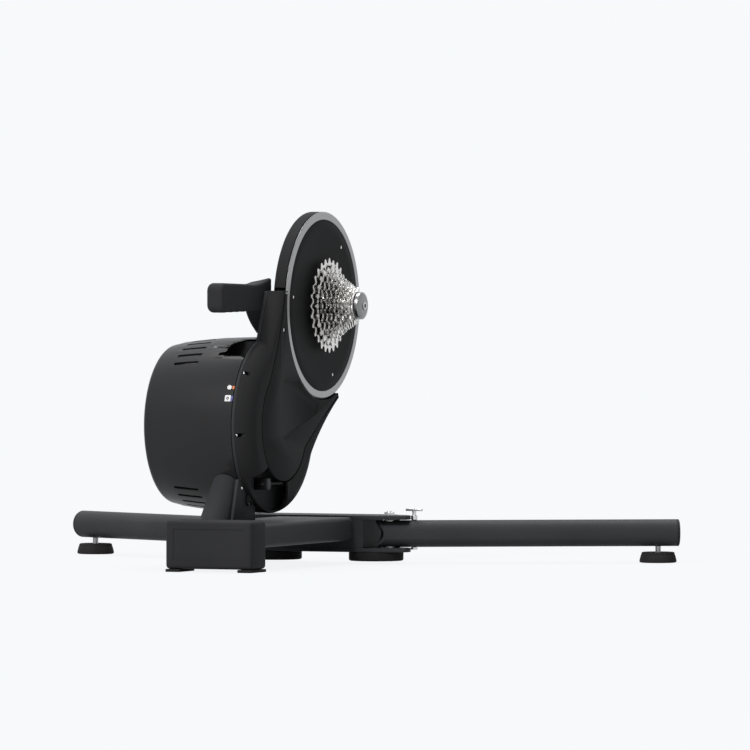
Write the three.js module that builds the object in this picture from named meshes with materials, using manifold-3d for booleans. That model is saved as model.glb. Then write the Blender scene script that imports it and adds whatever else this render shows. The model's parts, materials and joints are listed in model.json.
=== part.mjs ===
// Direct drive bike trainer, in millimetres. +X is the drive side, +Y is forwards, +Z is up.
// The bike's rear wheel comes off, its dropouts clamp on the axle, and its chain turns the cassette.
// A belt runs from the big pulley under the disc down to the flywheel in the drum. Lengths along Y
// are measured from the rear face of the rear block, and the finished group is centred at the end.
import * as THREE from "three";
import { mergeVertices } from "three/addons/utils/BufferGeometryUtils.js";
import Module from "manifold-3d";

const wasm = await Module();
wasm.setup();

// Fits and steps
const seatGap = 0.3;
const overrun = 4;
const facetTolerance = 0.05;
const slotCornerShare = 0.98;
const discSteps = 36;
const roundSteps = 20;
const smallSteps = 12;

// Base: a flat beam, a rear block and a front bracket with two folding legs
const beamWidth = 100;
const beamHeight = 29;
const beamTopZ = 58;
const beamWall = 3;
const beamCornerRadius = 5;
const beamRearY = 9;
const blockWidth = 115;
const blockDepth = 47;
const blockTopZ = 63.4;
const blockCornerRadius = 5;
const rearPadWidth = 19;
const rearPadHeight = 3.6;
const bracketRearY = 333;
const bracketFrontY = 398;
const bracketShoulderX = 80;
const bracketPlate = 5;
const bracketBoxHalfWidth = 64;
const bracketWall = 5;
const earHalfWidth = 20;
const earEndRadius = 26.4;
const bracketPadX = 68.7;
const bracketPadY = 364.5;
const bracketPadRadius = 34;
const bracketPadEdge = 2;
const bracketPadBottomZ = 3.3;

// Legs
const legRadius = 16.75;
const legWall = 2;
const legCentreZ = 37.2;
const legAngle = 29;
const legPivotX = 89;
const legPivotY = 359;
const legInnerRadius = 17.2;
const legOuterReach = 362.5;
const legFootInset = 26.5;
const legSideClearance = 0.95;
const legCapLip = 3;
const legCapSpigot = 12;
const legCapEdge = 1.2;
const pivotBoltRadius = 4;
const pivotHeadRadius = 6.5;
const pivotHeadHeight = 4;
const pivotSleeveRadius = 6.4;
const knobReach = 30.9;
const knobScrewRadius = 2.5;
const knobCollarRadius = 4;
const knobCollarHeight = 5.5;
const knobStemHeight = 5.5;
const knobWingSpan = 23;
const knobWingWidth = 5.4;
const knobWingThickness = 3.2;
const knobNutRadius = 4.2;
const knobNutHeight = 3;
const footRadius = 23.2;
const footTopRadius = 20.4;
const footHeight = 13.3;
const footSole = 3;
const footEdge = 1.1;
const studRadius = 3.7;
const studTopZ = 31;

// Axes of the drum and of the bike's rear axle
const spindleY = 193.5;
const spindleZ = 175.6;
const axleY = 320;
const axleZ = 320.9;

// Frame plate and its strut
const plateLeftX = -6.5;
const plateThickness = 4;
const plateRadius = 109;
const plateRimStartAngle = 107;
const plateRimEndAngle = 345;
const armTopZ = 341;
const armFrontShare = 0.98;
const armFrontAngle = 5;
const axleBossStartAngle = -30;
const axleBossEndAngle = 110;
const axleBossRadius = 27;
const plateFootRearY = 72;
const plateFootFrontY = 158;
const plateFootShare = 0.6;
const shaftBossRadius = 21;
const shaftBossLength = 24;
const strutRadius = 18;
const strutWall = 2.5;
const strutLean = 41;
const strutBaseY = 75;
const strutLength = 84;

// Belt housing and cover
const faceX = 18.5;
const faceInset = 24;
const armTopInset = 14.6;
const faceArmInset = 5;
const faceJointAngle = 126;
const faceFinStartAngle = 330;
const discClearance = 1.2;
const finProud = 7.4;
const finTipAngle = -69.2;
const housingWall = 2.6;
const coverBorder = 15;
const coverThickness = 3;
const coverSeam = 0.9;
const coverPegRadius = 3.6;
const coverPegInset = 12;
const coverPegAngles = [215, 300];
const finPegReach = 20.1;
const finPegAngle = -95.4;
const armPegInset = 8.5;
const armPegDrop = 19;
const coverJointAngle = 132;
const coverFinStartAngle = 335;
const recessShares = [[-0.05, 0.75], [-0.107, 0.677], [-0.107, -0.166], [-0.05, -0.237]];
const recessTipReach = 19.4;
const recessTipAngle = -101.8;
const recessClearance = 6.6;
const recessStartAngle = -101;
const recessEndAngle = -132;
const domeAngles = [0, 30, 60, 90];
const bowInset = 13;
const bowDrop = 31;
const finBowReach = 38.6;
const finBowAngle = -91.8;
const faceBowInset = 11;
const faceBowDrop = 51;
const faceFinBowReach = 33.6;
const faceFinBowAngle = -96.9;
const coverBowInset = 12.6;
const coverBowDrop = 53.4;
const coverFinBowReach = 32.3;
const coverFinBowAngle = -98.8;
const bowSteps = 6;
const finSteps = 8;
const rimSteps = 24;
const cutSteps = 16;
const openingFrontAngle = 276;
const openingRearAngle = 214;
const recessDepth = 1.2;

// Hub, big pulley, freehub and cassette
const discFaceX = 16.5;
const discRadius = 116.2;
const silverRingWidth = 9.7;
const silverRingThickness = 1.6;
const pulleyBeltInset = 9.2;
const pulleyLeftX = 0.6;
const pulleyFlange = 1.1;
const pulleyFlangeHeight = 2.8;
const pulleyWebThickness = 5;
const pulleyRimThickness = 6;
const hubSleeveRadius = 25;
const hubSleeveLeftX = -1;
const hubSleeveRightX = 19.4;
const discCoverThickness = 2.6;
const axleRadius = 8;
const axleCapRadius = 17;
const axleCapThickness = 4.4;
const axleCapEdge = 1;
const axleCapDome = 3.2;
const axleStub = 5;
const axleStubRadius = 5;
const skewerRadius = 2.7;
const axleSpacerRadius = 11;
const hubBearingOuterRadius = 16;
const hubBearingWidth = 8;
const freehubRadius = 16;
const splineSteps = 18;
const freehubFlangeRadius = 19;
const freehubLeftX = 19.8;
const cassetteLeftX = 23;
const sprocketPitch = 3.95;
const sprocketThickness = 1.9;
const chainPitch = 12.7;
const toothRise = 2.05;
const toothDrop = 3.95;
const toothShares = [[-0.5, 0], [-0.15, 1], [0.15, 1]];
const sprocketTeeth = [28, 24, 21, 19, 17, 15, 14, 13, 12, 11];
const cassetteBlocks = [["large", 0, 3], ["middle", 3, 6], ["small", 6, 10]];
const spacerRadius = 20;
const smallSpacerRadius = 18.2;
const spacerStepIndex = 7;
const lockringRadius = 18.5;
const lockringThickness = 2.6;

// Belt and small pulley
const beltThickness = 2.5;
const beltWidth = 11.4;
const smallPulleyRadius = 20;
const smallPulleyFlange = 3.4;
const smallPulleyFlangeThickness = 1;

// Guard over the top of the big pulley
const guardThickness = 3;
const guardBackThickness = 2.4;
const guardHubClearance = 2;
const guardStartAngle = -66.5;
const guardEndAngle = 168;

// Drum, flywheel and brake
const drumLeftX = -130.2;
const drumInset = 0.4;
const drumTaper = 10;
const drumRearX = -96.5;
const drumRearDrop = 5.1;
const drumMiddleX = -60;
const drumMiddleDrop = 1.6;
const drumWall = 2.8;
const drumCornerRadius = 4.5;
const drumEndBorder = 20.6;
const drumEndRecessDepth = 2;
const ventLeftX = -100;
const ventLength = 34;
const ventWidth = 4.6;
const ventCount = 11;
const ventSpacing = 8.5;
const ventTopAngle = 90;
const ventBottomAngle = 270;
const handRecessReach = 37;
const handRecessHeight = 21;
const handRecessDrop = 22.2;
const handRecessFrontY = 170;
const strutClearance = 1.6;
const flywheelClearance = 7.6;
const flywheelLeftX = -113;
const flywheelRightX = -50;
const flywheelRimDepth = 23;
const flywheelWebThickness = 9;
const flywheelHubRadius = 20;
const flywheelHubLength = 48;
const flywheelEdge = 2;
const shaftRadius = 7.5;
const shaftLeftX = -116;
const shaftBearingOuterRadius = 16;
const shaftBearingWidth = 9;
const brakeClearance = 6;
const brakeInnerRadius = 27;
const brakeWidth = 24;
const brakePostRadius = 4;
const brakePostLength = 26;
const brakePostAngles = [30, 150, 270];
const boardLength = 80;
const boardHeight = 34;
const boardThickness = 1.6;
const boardStandoff = 6;
const boardSpacerRadius = 2.5;
const boardCentreY = 195;
const boardInset = 45.2;
const socketSize = 8;
const socketAngle = 161.1;
const buttonRadius = 3;
const buttonAngle = 153.5;
const controlsX = -13;
const controlsProud = 1.2;
const controlsFlange = 2;

// Handle
const handleWidth = 23;
const handleRearY = 60;
const handleRootY = 211;
const handleTopZ = 353;
const handleHeight = 36.5;
const handleDrop = 3.4;
const handleCornerRadius = 8;
const handleFlareY = 172;
const handleRootTopZ = 361;
const handleGussetY = 163;
const handleGussetFootY = 197;
const handleGussetFootZ = 289;
const handleEdgeRadius = 5;
const handleGrowth = 1.5;
const fingerStartY = 76;
const fingerLength = 19;
const fingerDepth = 2.4;
const fingerCount = 4;
const waveSteps = 4;

// Belt tensioner, seen through the opening low in the housing
const tensionerRearY = 146;
const tensionerFrontY = 210;
const tensionerInset = 37.4;
const tensionBoltRadius = 3;
const tensionNutRadius = 5.6;
const tensionNutThickness = 5;
const tensionBlockLength = 12;
const tensionBlockHeight = 14;
const openingStartAngle = 227;
const openingEndAngle = 278;
const lobeProud = 3;
const lobeAngle = 234;
const lobeRadius = 8;
const openingLip = 6;

// Positions that follow
const degree = Math.PI / 180;
const fullTurn = 360;
const plateRightX = plateLeftX + plateThickness;
const housingLeftX = plateRightX + seatGap;
const faceRadius = plateRadius - faceInset;
const coverRadius = faceRadius - coverBorder;
const lobeReach = plateRadius + lobeProud;
const tensionerZ = spindleZ - plateRadius + tensionerInset;
const discCutRadius = discRadius + discClearance;
const finTipRadius = discRadius + finProud;
const armTopY = axleY - discCutRadius - armTopInset;
const faceArmTopY = armTopY + faceArmInset;
const silverRingInnerRadius = discRadius - silverRingWidth;
const pulleyBeltRadius = discRadius - pulleyBeltInset;
const drumRightRadius = plateRadius - drumInset;
const drumLeftRadius = drumRightRadius - drumTaper;
const drumEndRecessRadius = drumLeftRadius - drumEndBorder;
const handRecessBottomZ = spindleZ + drumRightRadius - handRecessDrop;
const flywheelRadius = drumLeftRadius - flywheelClearance;
const flywheelBoreRadius = flywheelRadius - flywheelRimDepth;
const brakeOuterRadius = flywheelBoreRadius - brakeClearance;
const boardCentreZ = spindleZ + drumRightRadius - boardInset;
const legFootReach = legOuterReach - legFootInset;
const beamBottomZ = beamTopZ - beamHeight;
const legGap = 2 * (legRadius + legSideClearance);
const bracketTopZ = legCentreZ + legGap / 2 + bracketPlate;
const bracketBottomZ = legCentreZ - legGap / 2 - bracketPlate;
const legEndReach = legOuterReach - legCapEdge;
const legRise = legEndReach * Math.sin(legAngle * degree);
const overallLength = legPivotY + legRise + legRadius * Math.cos(legAngle * degree);
const steel = finish(0x1c1d1f, 0.45, 0.3);
const moulded = finish(0x17181a, 0.5, 0);
const rubber = finish(0x141414, 0.85, 0);
const bright = finish(0xc9cbcc, 0.22, 1);
const machined = finish(0x9a9c9e, 0.35, 0.9);
const nylon = finish(0xe8e8e6, 0.5, 0);
const copper = finish(0x8a5a34, 0.4, 0.6);
const boardGreen = finish(0x1f4a2c, 0.6, 0);

function finish(color, roughness, metalness) {
  return new THREE.MeshStandardMaterial({ color, roughness, metalness });
}

// Joining and cutting
function solidOf(geometry) {
  const plain = geometry.clone();
  plain.deleteAttribute("normal");
  plain.deleteAttribute("uv");
  const merged = mergeVertices(plain);
  const corners = merged.index.array;
  const kept = [];
  for (let i = 0; i < corners.length; i += 3) {
    const [a, b, c] = [corners[i], corners[i + 1], corners[i + 2]];
    if (a !== b && b !== c && c !== a) kept.push(a, b, c);
  }
  const vertProperties = merged.attributes.position.array;
  return new wasm.Manifold(new wasm.Mesh({ numProp: 3, vertProperties, triVerts: new Uint32Array(kept) }));
}

function geometryOf(solid) {
  const mesh = solid.simplify(facetTolerance).getMesh();
  const geometry = new THREE.BufferGeometry();
  geometry.setAttribute("position", new THREE.BufferAttribute(mesh.vertProperties, mesh.numProp));
  geometry.setIndex(new THREE.BufferAttribute(mesh.triVerts, 1));
  const faceted = geometry.toNonIndexed();
  faceted.computeVertexNormals();
  return faceted;
}

function cut(body, ...tools) {
  return geometryOf(tools.reduce((left, tool) => left.subtract(solidOf(tool)), solidOf(body)));
}

function join(first, ...others) {
  return geometryOf(others.reduce((sum, other) => sum.add(solidOf(other)), solidOf(first)));
}

function overlapOf(first, second) {
  return geometryOf(solidOf(first).intersect(solidOf(second)));
}

// Turning the axes in a ring keeps a shape the right way out
const zToX = new THREE.Matrix4().set(0, 0, 1, 0, 1, 0, 0, 0, 0, 1, 0, 0, 0, 0, 0, 1);
const yToX = new THREE.Matrix4().set(0, 1, 0, 0, 0, 0, 1, 0, 1, 0, 0, 0, 0, 0, 0, 1);

function extruded(shape, from, to, curveSegments = roundSteps / 2) {
  const options = { depth: to - from, bevelEnabled: false, curveSegments };
  return new THREE.ExtrudeGeometry(shape, options).translate(0, 0, from);
}

// A shape drawn in (y, z) runs along X, one drawn in (x, y) up Z, and one drawn in (z, x) along Y
const alongX = (shape, from, to, segments) => extruded(shape, from, to, segments).applyMatrix4(zToX);
const upZ = (shape, from, to, segments) => extruded(shape, from, to, segments);
const alongY = (shape, from, to, segments) => extruded(shape, from, to, segments).applyMatrix4(yToX);

// A profile of [radius, place along the axis], turned once round
function turned(profile, steps) {
  const points = profile.map(([radius, along]) => new THREE.Vector2(radius, along));
  if (THREE.ShapeUtils.area(points) < 0) points.reverse();
  if (points[0].x > 0 || points[points.length - 1].x > 0) points.push(points[0].clone());
  return new THREE.LatheGeometry(points, steps);
}

const turnedX = (profile, steps = roundSteps) => turned(profile, steps).applyMatrix4(yToX);
const turnedZ = (profile, steps = roundSteps) => turned(profile, steps).applyMatrix4(zToX);
const rodX = (radius, from, to, steps = smallSteps) =>
  turnedX([[0, from], [radius, from], [radius, to], [0, to]], steps);
const rodZ = (radius, from, to, steps = smallSteps) =>
  turnedZ([[0, from], [radius, from], [radius, to], [0, to]], steps);
const sleeveX = (inner, outer, from, to, steps = roundSteps) =>
  turnedX([[inner, from], [outer, from], [outer, to], [inner, to]], steps);
const sleeveZ = (inner, outer, from, to, steps = smallSteps) =>
  turnedZ([[inner, from], [outer, from], [outer, to], [inner, to]], steps);

function block(x0, x1, y0, y1, z0, z1) {
  const middle = [(x0 + x1) / 2, (y0 + y1) / 2, (z0 + z1) / 2];
  return new THREE.BoxGeometry(x1 - x0, y1 - y0, z1 - z0).translate(...middle);
}

// Outlines
function shapeOf(points) {
  return new THREE.Shape(points.map(([u, v]) => new THREE.Vector2(u, v)));
}

function roundedRectangle(u0, u1, v0, v1, radius) {
  const shape = new THREE.Shape();
  shape.absarc(u1 - radius, v0 + radius, radius, -Math.PI / 2, 0);
  shape.absarc(u1 - radius, v1 - radius, radius, 0, Math.PI / 2);
  shape.absarc(u0 + radius, v1 - radius, radius, Math.PI / 2, Math.PI);
  shape.absarc(u0 + radius, v0 + radius, radius, Math.PI, (3 * Math.PI) / 2);
  shape.closePath();
  return shape;
}

function polar(centreU, centreV, radius, angle) {
  return [centreU + radius * Math.cos(angle * degree), centreV + radius * Math.sin(angle * degree)];
}

function arcPoints(centreU, centreV, radius, from, to, steps) {
  const points = [];
  const step = (to - from) / steps;
  for (let i = 0; i <= steps; i++) points.push(polar(centreU, centreV, radius, from + step * i));
  return points;
}

function bezierPoints(start, middle, end, steps) {
  const controls = [start, middle, end].map(([u, v]) => new THREE.Vector2(u, v));
  return new THREE.QuadraticBezierCurve(...controls).getPoints(steps).map((p) => [p.x, p.y]);
}

// A skin stretched over outlines of equal count, each standing at its own X
function loft(rings) {
  const positions = [];
  const place = (ring, i) => [ring.x, ...ring.points[i % ring.points.length]];
  const triangle = (...corners) => corners.forEach((corner) => positions.push(...corner));
  for (let r = 0; r + 1 < rings.length; r++) {
    for (let i = 0; i < rings[r].points.length; i++) {
      const [a, b] = [place(rings[r], i), place(rings[r], i + 1)];
      const [c, d] = [place(rings[r + 1], i + 1), place(rings[r + 1], i)];
      triangle(a, b, c);
      triangle(a, c, d);
    }
  }
  const [first, last] = [rings[0], rings[rings.length - 1]];
  for (const ring of [first, last]) {
    const contour = ring.points.map(([u, v]) => new THREE.Vector2(u, v));
    for (const [i, j, k] of THREE.ShapeUtils.triangulateShape(contour, [])) {
      const corners = ring === last ? [i, j, k] : [k, j, i];
      triangle(...corners.map((corner) => place(ring, corner)));
    }
  }
  const geometry = new THREE.BufferGeometry();
  geometry.setAttribute("position", new THREE.Float32BufferAttribute(positions, 3));
  return geometry;
}

// Nodes
const trainer = new THREE.Group();
const body = new THREE.Group();
body.position.y = -overallLength / 2;
trainer.add(body);

function add(parent, name, geometry, material, x = 0, y = 0, z = 0) {
  const mesh = new THREE.Mesh(geometry, material);
  mesh.name = name;
  mesh.position.set(x, y, z);
  parent.add(mesh);
}

const sides = [
  { name: "left", sign: -1, turn: 180 - legAngle },
  { name: "right", sign: 1, turn: legAngle },
];

// Base beam: a flat rectangular tube, open at both ends
function beamSection(inset) {
  const half = beamWidth / 2 - inset;
  const radius = beamCornerRadius - inset;
  return roundedRectangle(beamBottomZ + inset, beamTopZ - inset, -half, half, radius);
}
const beamShape = beamSection(0);
beamShape.holes.push(beamSection(beamWall));
const beamFrontY = bracketRearY - seatGap;
add(body, "base_beam", alongY(beamShape, beamRearY, beamFrontY, 3), steel);

// Rear block: a moulded foot that caps the beam's rear end, with two rubber strips under it
function rearBlock() {
  const edge = blockCornerRadius / 2;
  const bottomZ = rearPadHeight + seatGap;
  const half = blockWidth / 2;
  const outline = roundedRectangle(bottomZ, blockTopZ, -half, half, blockCornerRadius);
  const bevel = { bevelThickness: edge, bevelSize: edge, bevelOffset: -edge, bevelSegments: 2 };
  const depth = blockDepth - 2 * edge;
  const outer = new THREE.ExtrudeGeometry(outline, { depth, curveSegments: 3, ...bevel })
    .translate(0, 0, edge)
    .applyMatrix4(yToX);
  const fit = beamWidth / 2 + seatGap;
  const socket = block(
    -fit,
    fit,
    beamRearY - seatGap,
    blockDepth + overrun,
    beamBottomZ - seatGap,
    beamTopZ + seatGap,
  );
  return cut(outer, socket);
}
add(body, "rear_block", rearBlock(), moulded);
for (const { name, sign } of sides) {
  const outer = (sign * blockWidth) / 2;
  const inner = outer - sign * rearPadWidth;
  const strip = block(Math.min(outer, inner), Math.max(outer, inner), 0, blockDepth, 0, rearPadHeight);
  add(body, "rear_pad_" + name, strip, rubber);
}

// Front bracket: two plates with an ear for each leg, held apart by a box and a stop wall behind each leg
const along = [Math.cos(legAngle * degree), Math.sin(legAngle * degree)];
const across = [along[1], -along[0]];
const fromPivot = (reach, side) => [
  legPivotX + reach * along[0] + side * across[0],
  legPivotY + reach * along[1] + side * across[1],
];

function bracketOutline() {
  const rearReach = (bracketRearY - legPivotY + earHalfWidth * along[0]) / along[1];
  const spread = Math.asin(earHalfWidth / earEndRadius) / degree;
  const end = arcPoints(legPivotX, legPivotY, earEndRadius, legAngle - spread, legAngle + spread, 12);
  const half = [fromPivot(rearReach, earHalfWidth), ...end, [bracketShoulderX, bracketFrontY]];
  const mirrored = half.map(([x, y]) => [-x, y]).reverse();
  return shapeOf([...half, ...mirrored]);
}

function stopWall(sign) {
  const near = -legRadius - seatGap;
  const far = near - bracketWall;
  const start = bracketWall;
  const end = earHalfWidth - bracketWall;
  const corners = [fromPivot(start, near), fromPivot(end, near), fromPivot(end, far), fromPivot(start, far)];
  const points = corners.map(([x, y]) => [sign * x, y]);
  if (THREE.ShapeUtils.area(points.map(([x, y]) => new THREE.Vector2(x, y))) < 0) points.reverse();
  return upZ(shapeOf(points), bracketBottomZ + bracketPlate / 2, bracketTopZ - bracketPlate / 2);
}

function frontBracket() {
  const half = bracketBoxHalfWidth;
  const [low, high] = [bracketBottomZ + bracketPlate / 2, bracketTopZ - bracketPlate / 2];
  const pieces = [
    upZ(bracketOutline(), bracketTopZ - bracketPlate, bracketTopZ),
    block(-half, half, bracketRearY, bracketRearY + bracketWall, low, high),
  ];
  for (const { sign } of sides) {
    const [outer, inner] = [sign * half, sign * (half - bracketWall)];
    pieces.push(
      block(Math.min(outer, inner), Math.max(outer, inner), bracketRearY, bracketFrontY, low, high),
      stopWall(sign),
    );
  }
  const holes = sides.map(({ sign }) =>
    rodZ(pivotBoltRadius + seatGap, bracketBottomZ - overrun, bracketTopZ + overrun).translate(
      sign * legPivotX,
      legPivotY,
      0,
    ),
  );
  const bottom = upZ(bracketOutline(), bracketBottomZ, bracketBottomZ + bracketPlate);
  return cut(join(bottom, ...pieces), ...holes);
}
add(body, "front_bracket", frontBracket(), steel);

// Round pads under the bracket, with a pocket for the head of the leg's pivot bolt
for (const { name, sign } of sides) {
  const top = bracketBottomZ - seatGap;
  const [rim, edge] = [bracketPadRadius, bracketPadEdge];
  const low = bracketPadBottomZ;
  const puck = turnedZ([[0, low], [rim - edge, low], [rim, low + edge], [rim, top], [0, top]]);
  const pocket = rodZ(pivotHeadRadius + seatGap, top - pivotHeadHeight - seatGap, top + overrun).translate(
    sign * (legPivotX - bracketPadX),
    legPivotY - bracketPadY,
    0,
  );
  add(body, "bracket_pad_" + name, cut(puck, pocket), rubber, sign * bracketPadX, bracketPadY, 0);
}

// Pivot bolts and their nuts
const hexSides = 6;
for (const { name, sign } of sides) {
  const headTop = bracketBottomZ - seatGap;
  const nutBottom = bracketTopZ + seatGap;
  const nutTop = nutBottom + pivotHeadHeight;
  const shankTop = nutTop + pivotHeadHeight / 3;
  const bolt = join(
    rodZ(pivotHeadRadius, headTop - pivotHeadHeight, headTop, hexSides),
    rodZ(pivotBoltRadius, headTop - pivotHeadHeight / 2, shankTop),
  );
  const nut = sleeveZ(pivotBoltRadius + seatGap, pivotHeadRadius, nutBottom, nutTop, hexSides);
  const bore = rodZ(pivotBoltRadius + seatGap, nutBottom - overrun, nutTop + overrun);
  add(body, "pivot_bolt_" + name, bolt, bright, sign * legPivotX, legPivotY, 0);
  add(body, "pivot_nut_" + name, cut(nut, bore), bright, sign * legPivotX, legPivotY, 0);
}

// Legs, drawn lying along +X from the pivot at the leg's own axis height, with the inner end cut round
// so that it turns past the stop wall
function legTube() {
  const end = legOuterReach - legCapLip - seatGap;
  const through = legRadius + overrun;
  const start = -legInnerRadius - overrun;
  const tube = sleeveX(legRadius - legWall, legRadius, start, end, roundSteps);
  const behind = block(start - overrun, 0, start, -start, -through, through);
  const round = rodZ(legInnerRadius, -through - overrun, through + overrun, roundSteps);
  return cut(
    tube,
    cut(behind, round),
    rodZ(pivotSleeveRadius + seatGap, -through, through),
    rodZ(knobScrewRadius + seatGap, -through, through).translate(knobReach, 0, 0),
    rodZ(studRadius + seatGap, -through, 0).translate(legFootReach, 0, 0),
  );
}

function legCap() {
  const seat = legOuterReach - legCapLip;
  const spigot = legRadius - legWall - seatGap;
  const tip = legOuterReach - legCapEdge;
  const profile = [
    [0, seat - legCapSpigot],
    [spigot, seat - legCapSpigot],
    [spigot, seat],
    [legRadius, seat],
    [legRadius, tip],
    [legRadius - legCapEdge, legOuterReach],
    [0, legOuterReach],
  ];
  return turnedX(profile, roundSteps);
}

// Levelling foot: a rubber cone on a threaded stud that screws into the leg
const groundZ = -legCentreZ;
function levellingFoot() {
  const profile = [
    [0, groundZ],
    [footRadius - footEdge, groundZ],
    [footRadius, groundZ + footEdge],
    [footTopRadius, groundZ + footHeight - footEdge],
    [footTopRadius - footEdge, groundZ + footHeight],
    [studRadius + seatGap, groundZ + footHeight],
    [studRadius + seatGap, groundZ + footSole],
    [0, groundZ + footSole],
  ];
  return turnedZ(profile, roundSteps);
}

// Lock knob: a wing screw through the leg, whose collar stands at the rounded end of the bracket's ear
const knobSeatZ = legRadius + seatGap;
function lockKnob(turn) {
  const wingZ = knobSeatZ + knobCollarHeight + knobStemHeight;
  const half = knobWingSpan / 2;
  const round = knobWingWidth / 2;
  const outline = roundedRectangle(-half, half, -round, round, round * slotCornerShare);
  const wing = upZ(outline, wingZ, wingZ + knobWingThickness, 4);
  return join(
    rodZ(knobCollarRadius, knobSeatZ, knobSeatZ + knobCollarHeight),
    rodZ(knobScrewRadius, -legRadius - knobNutHeight, wingZ + knobWingThickness / 2),
    wing.rotateZ(-turn * degree),
  );
}

for (const { name, sign, turn } of sides) {
  const leg = new THREE.Group();
  leg.position.set(sign * legPivotX, legPivotY, legCentreZ);
  leg.rotation.z = turn * degree;
  body.add(leg);
  add(leg, "leg_" + name, legTube(), steel);
  add(leg, "leg_cap_" + name, legCap(), moulded);
  const sleeveHalf = legGap / 2 - seatGap;
  const sleeve = sleeveZ(pivotBoltRadius + seatGap, pivotSleeveRadius, -sleeveHalf, sleeveHalf);
  add(leg, "pivot_sleeve_" + name, sleeve, nylon);
  add(leg, "levelling_foot_" + name, levellingFoot(), rubber, legFootReach);
  const stud = rodZ(studRadius, groundZ + footSole + seatGap, studTopZ - legCentreZ);
  add(leg, "levelling_stud_" + name, stud, bright, legFootReach);
  add(leg, "lock_knob_" + name, lockKnob(turn), bright, knobReach);
  const nutTop = -legRadius - seatGap;
  const nut = cut(
    rodZ(knobNutRadius, nutTop - knobNutHeight, nutTop),
    rodZ(knobScrewRadius + seatGap, nutTop - knobNutHeight - overrun, nutTop + overrun),
  );
  add(leg, "lock_nut_" + name, nut, bright, knobReach);
}

// Frame plate: the round drum flange with an arm up to the axle and a foot down to the beam
const drumArc = (radius, from, to, steps) => arcPoints(spindleY, spindleZ, radius, from, to, steps);
const screwLobe = polar(spindleY, spindleZ, lobeReach, lobeAngle);
function framePlate() {
  const footZ = beamTopZ + seatGap;
  const disc = new THREE.Shape().absarc(spindleY, spindleZ, plateRadius, 0, 2 * Math.PI);
  const boss = arcPoints(axleY, axleZ, axleBossRadius, axleBossStartAngle, axleBossEndAngle, smallSteps);
  const [, armFoot] = polar(spindleY, spindleZ, plateRadius - bracketWall, plateRimStartAngle);
  const armFootY = polar(spindleY, spindleZ, plateRadius, plateRimStartAngle)[0];
  const arm = shapeOf([
    [armFootY, armFoot],
    polar(spindleY, spindleZ, plateRadius * armFrontShare, armFrontAngle),
    ...boss,
    [armTopY + axleBossRadius, armTopZ + seatGap],
    [armTopY, armTopZ],
  ]);
  const foot = block(
    plateLeftX,
    plateRightX,
    plateFootRearY,
    plateFootFrontY,
    footZ,
    spindleZ - plateRadius * plateFootShare,
  );
  const shaftBore = shaftBearingOuterRadius + seatGap;
  const bossLeftX = plateLeftX - shaftBossLength;
  const shaftBoss = rodX(shaftBossRadius, bossLeftX, plateRightX, roundSteps);
  const bore = rodX(shaftBore, bossLeftX - overrun, plateRightX + overrun, roundSteps);
  const axleHole = rodX(axleRadius + seatGap, plateLeftX - overrun, plateRightX + overrun, roundSteps);
  return cut(
    join(
      alongX(disc, plateLeftX, plateRightX, roundSteps),
      alongX(arm, plateLeftX, plateRightX),
      foot,
      shaftBoss.translate(0, spindleY, spindleZ),
      rodX(lobeRadius, plateLeftX, plateRightX).translate(0, ...screwLobe),
    ),
    bore.translate(0, spindleY, spindleZ),
    axleHole.translate(0, axleY, axleZ),
  );
}
add(body, "frame_plate", framePlate(), steel);

// Strut: a round tube that leans forwards from the beam and is welded to the plate's left side
const strutX = plateLeftX - seatGap - strutRadius;
const strutTurn = new THREE.Matrix4()
  .makeTranslation(strutX, strutBaseY, beamTopZ)
  .multiply(new THREE.Matrix4().makeRotationX(-strutLean * degree));
function strut() {
  const tube = sleeveZ(strutRadius - strutWall, strutRadius, -2 * strutRadius, strutLength, roundSteps);
  const reach = 3 * strutRadius;
  const floor = beamTopZ + seatGap;
  const below = block(
    strutX - reach,
    strutX + reach,
    strutBaseY - reach,
    strutBaseY + reach,
    beamBottomZ - reach,
    floor,
  );
  return cut(tube.applyMatrix4(strutTurn), below);
}
add(body, "strut", strut(), steel);

// Belt housing: a domed shell round the belt, whose outline closes in from the plate to the face
const rimOutline = {
  radius: plateRadius,
  joint: plateRimStartAngle,
  finStart: plateRimEndAngle,
  top: [armTopY, armTopZ],
  bow: [armTopY - bowInset, armTopZ - bowDrop],
  finBow: polar(axleY, axleZ, discCutRadius + finBowReach, finBowAngle),
  tipRadius: finTipRadius,
  tipAngle: finTipAngle,
  cutRadius: discCutRadius,
};
const faceOutline = {
  ...rimOutline,
  radius: faceRadius,
  joint: faceJointAngle,
  finStart: faceFinStartAngle,
  top: [faceArmTopY, armTopZ],
  bow: [faceArmTopY - faceBowInset, armTopZ - faceBowDrop],
  finBow: polar(axleY, axleZ, discCutRadius + faceFinBowReach, faceFinBowAngle),
};
const coverOutline = {
  ...faceOutline,
  radius: coverRadius,
  joint: coverJointAngle,
  finStart: coverFinStartAngle,
  top: [faceArmTopY + housingWall, armTopZ - housingWall],
  bow: [faceArmTopY + housingWall - coverBowInset, armTopZ - housingWall - coverBowDrop],
  finBow: polar(axleY, axleZ, discCutRadius + coverFinBowReach, coverFinBowAngle),
  tipRadius: finTipRadius - housingWall,
  tipAngle: finTipAngle - 1,
};

function blendOf(from, to, share) {
  const lerp = THREE.MathUtils.lerp;
  const result = {};
  for (const key of Object.keys(from)) {
    const pair = Array.isArray(from[key]);
    const blended = (value, i) => lerp(value, to[key][i], share);
    result[key] = pair ? from[key].map(blended) : lerp(from[key], to[key], share);
  }
  return result;
}

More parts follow.
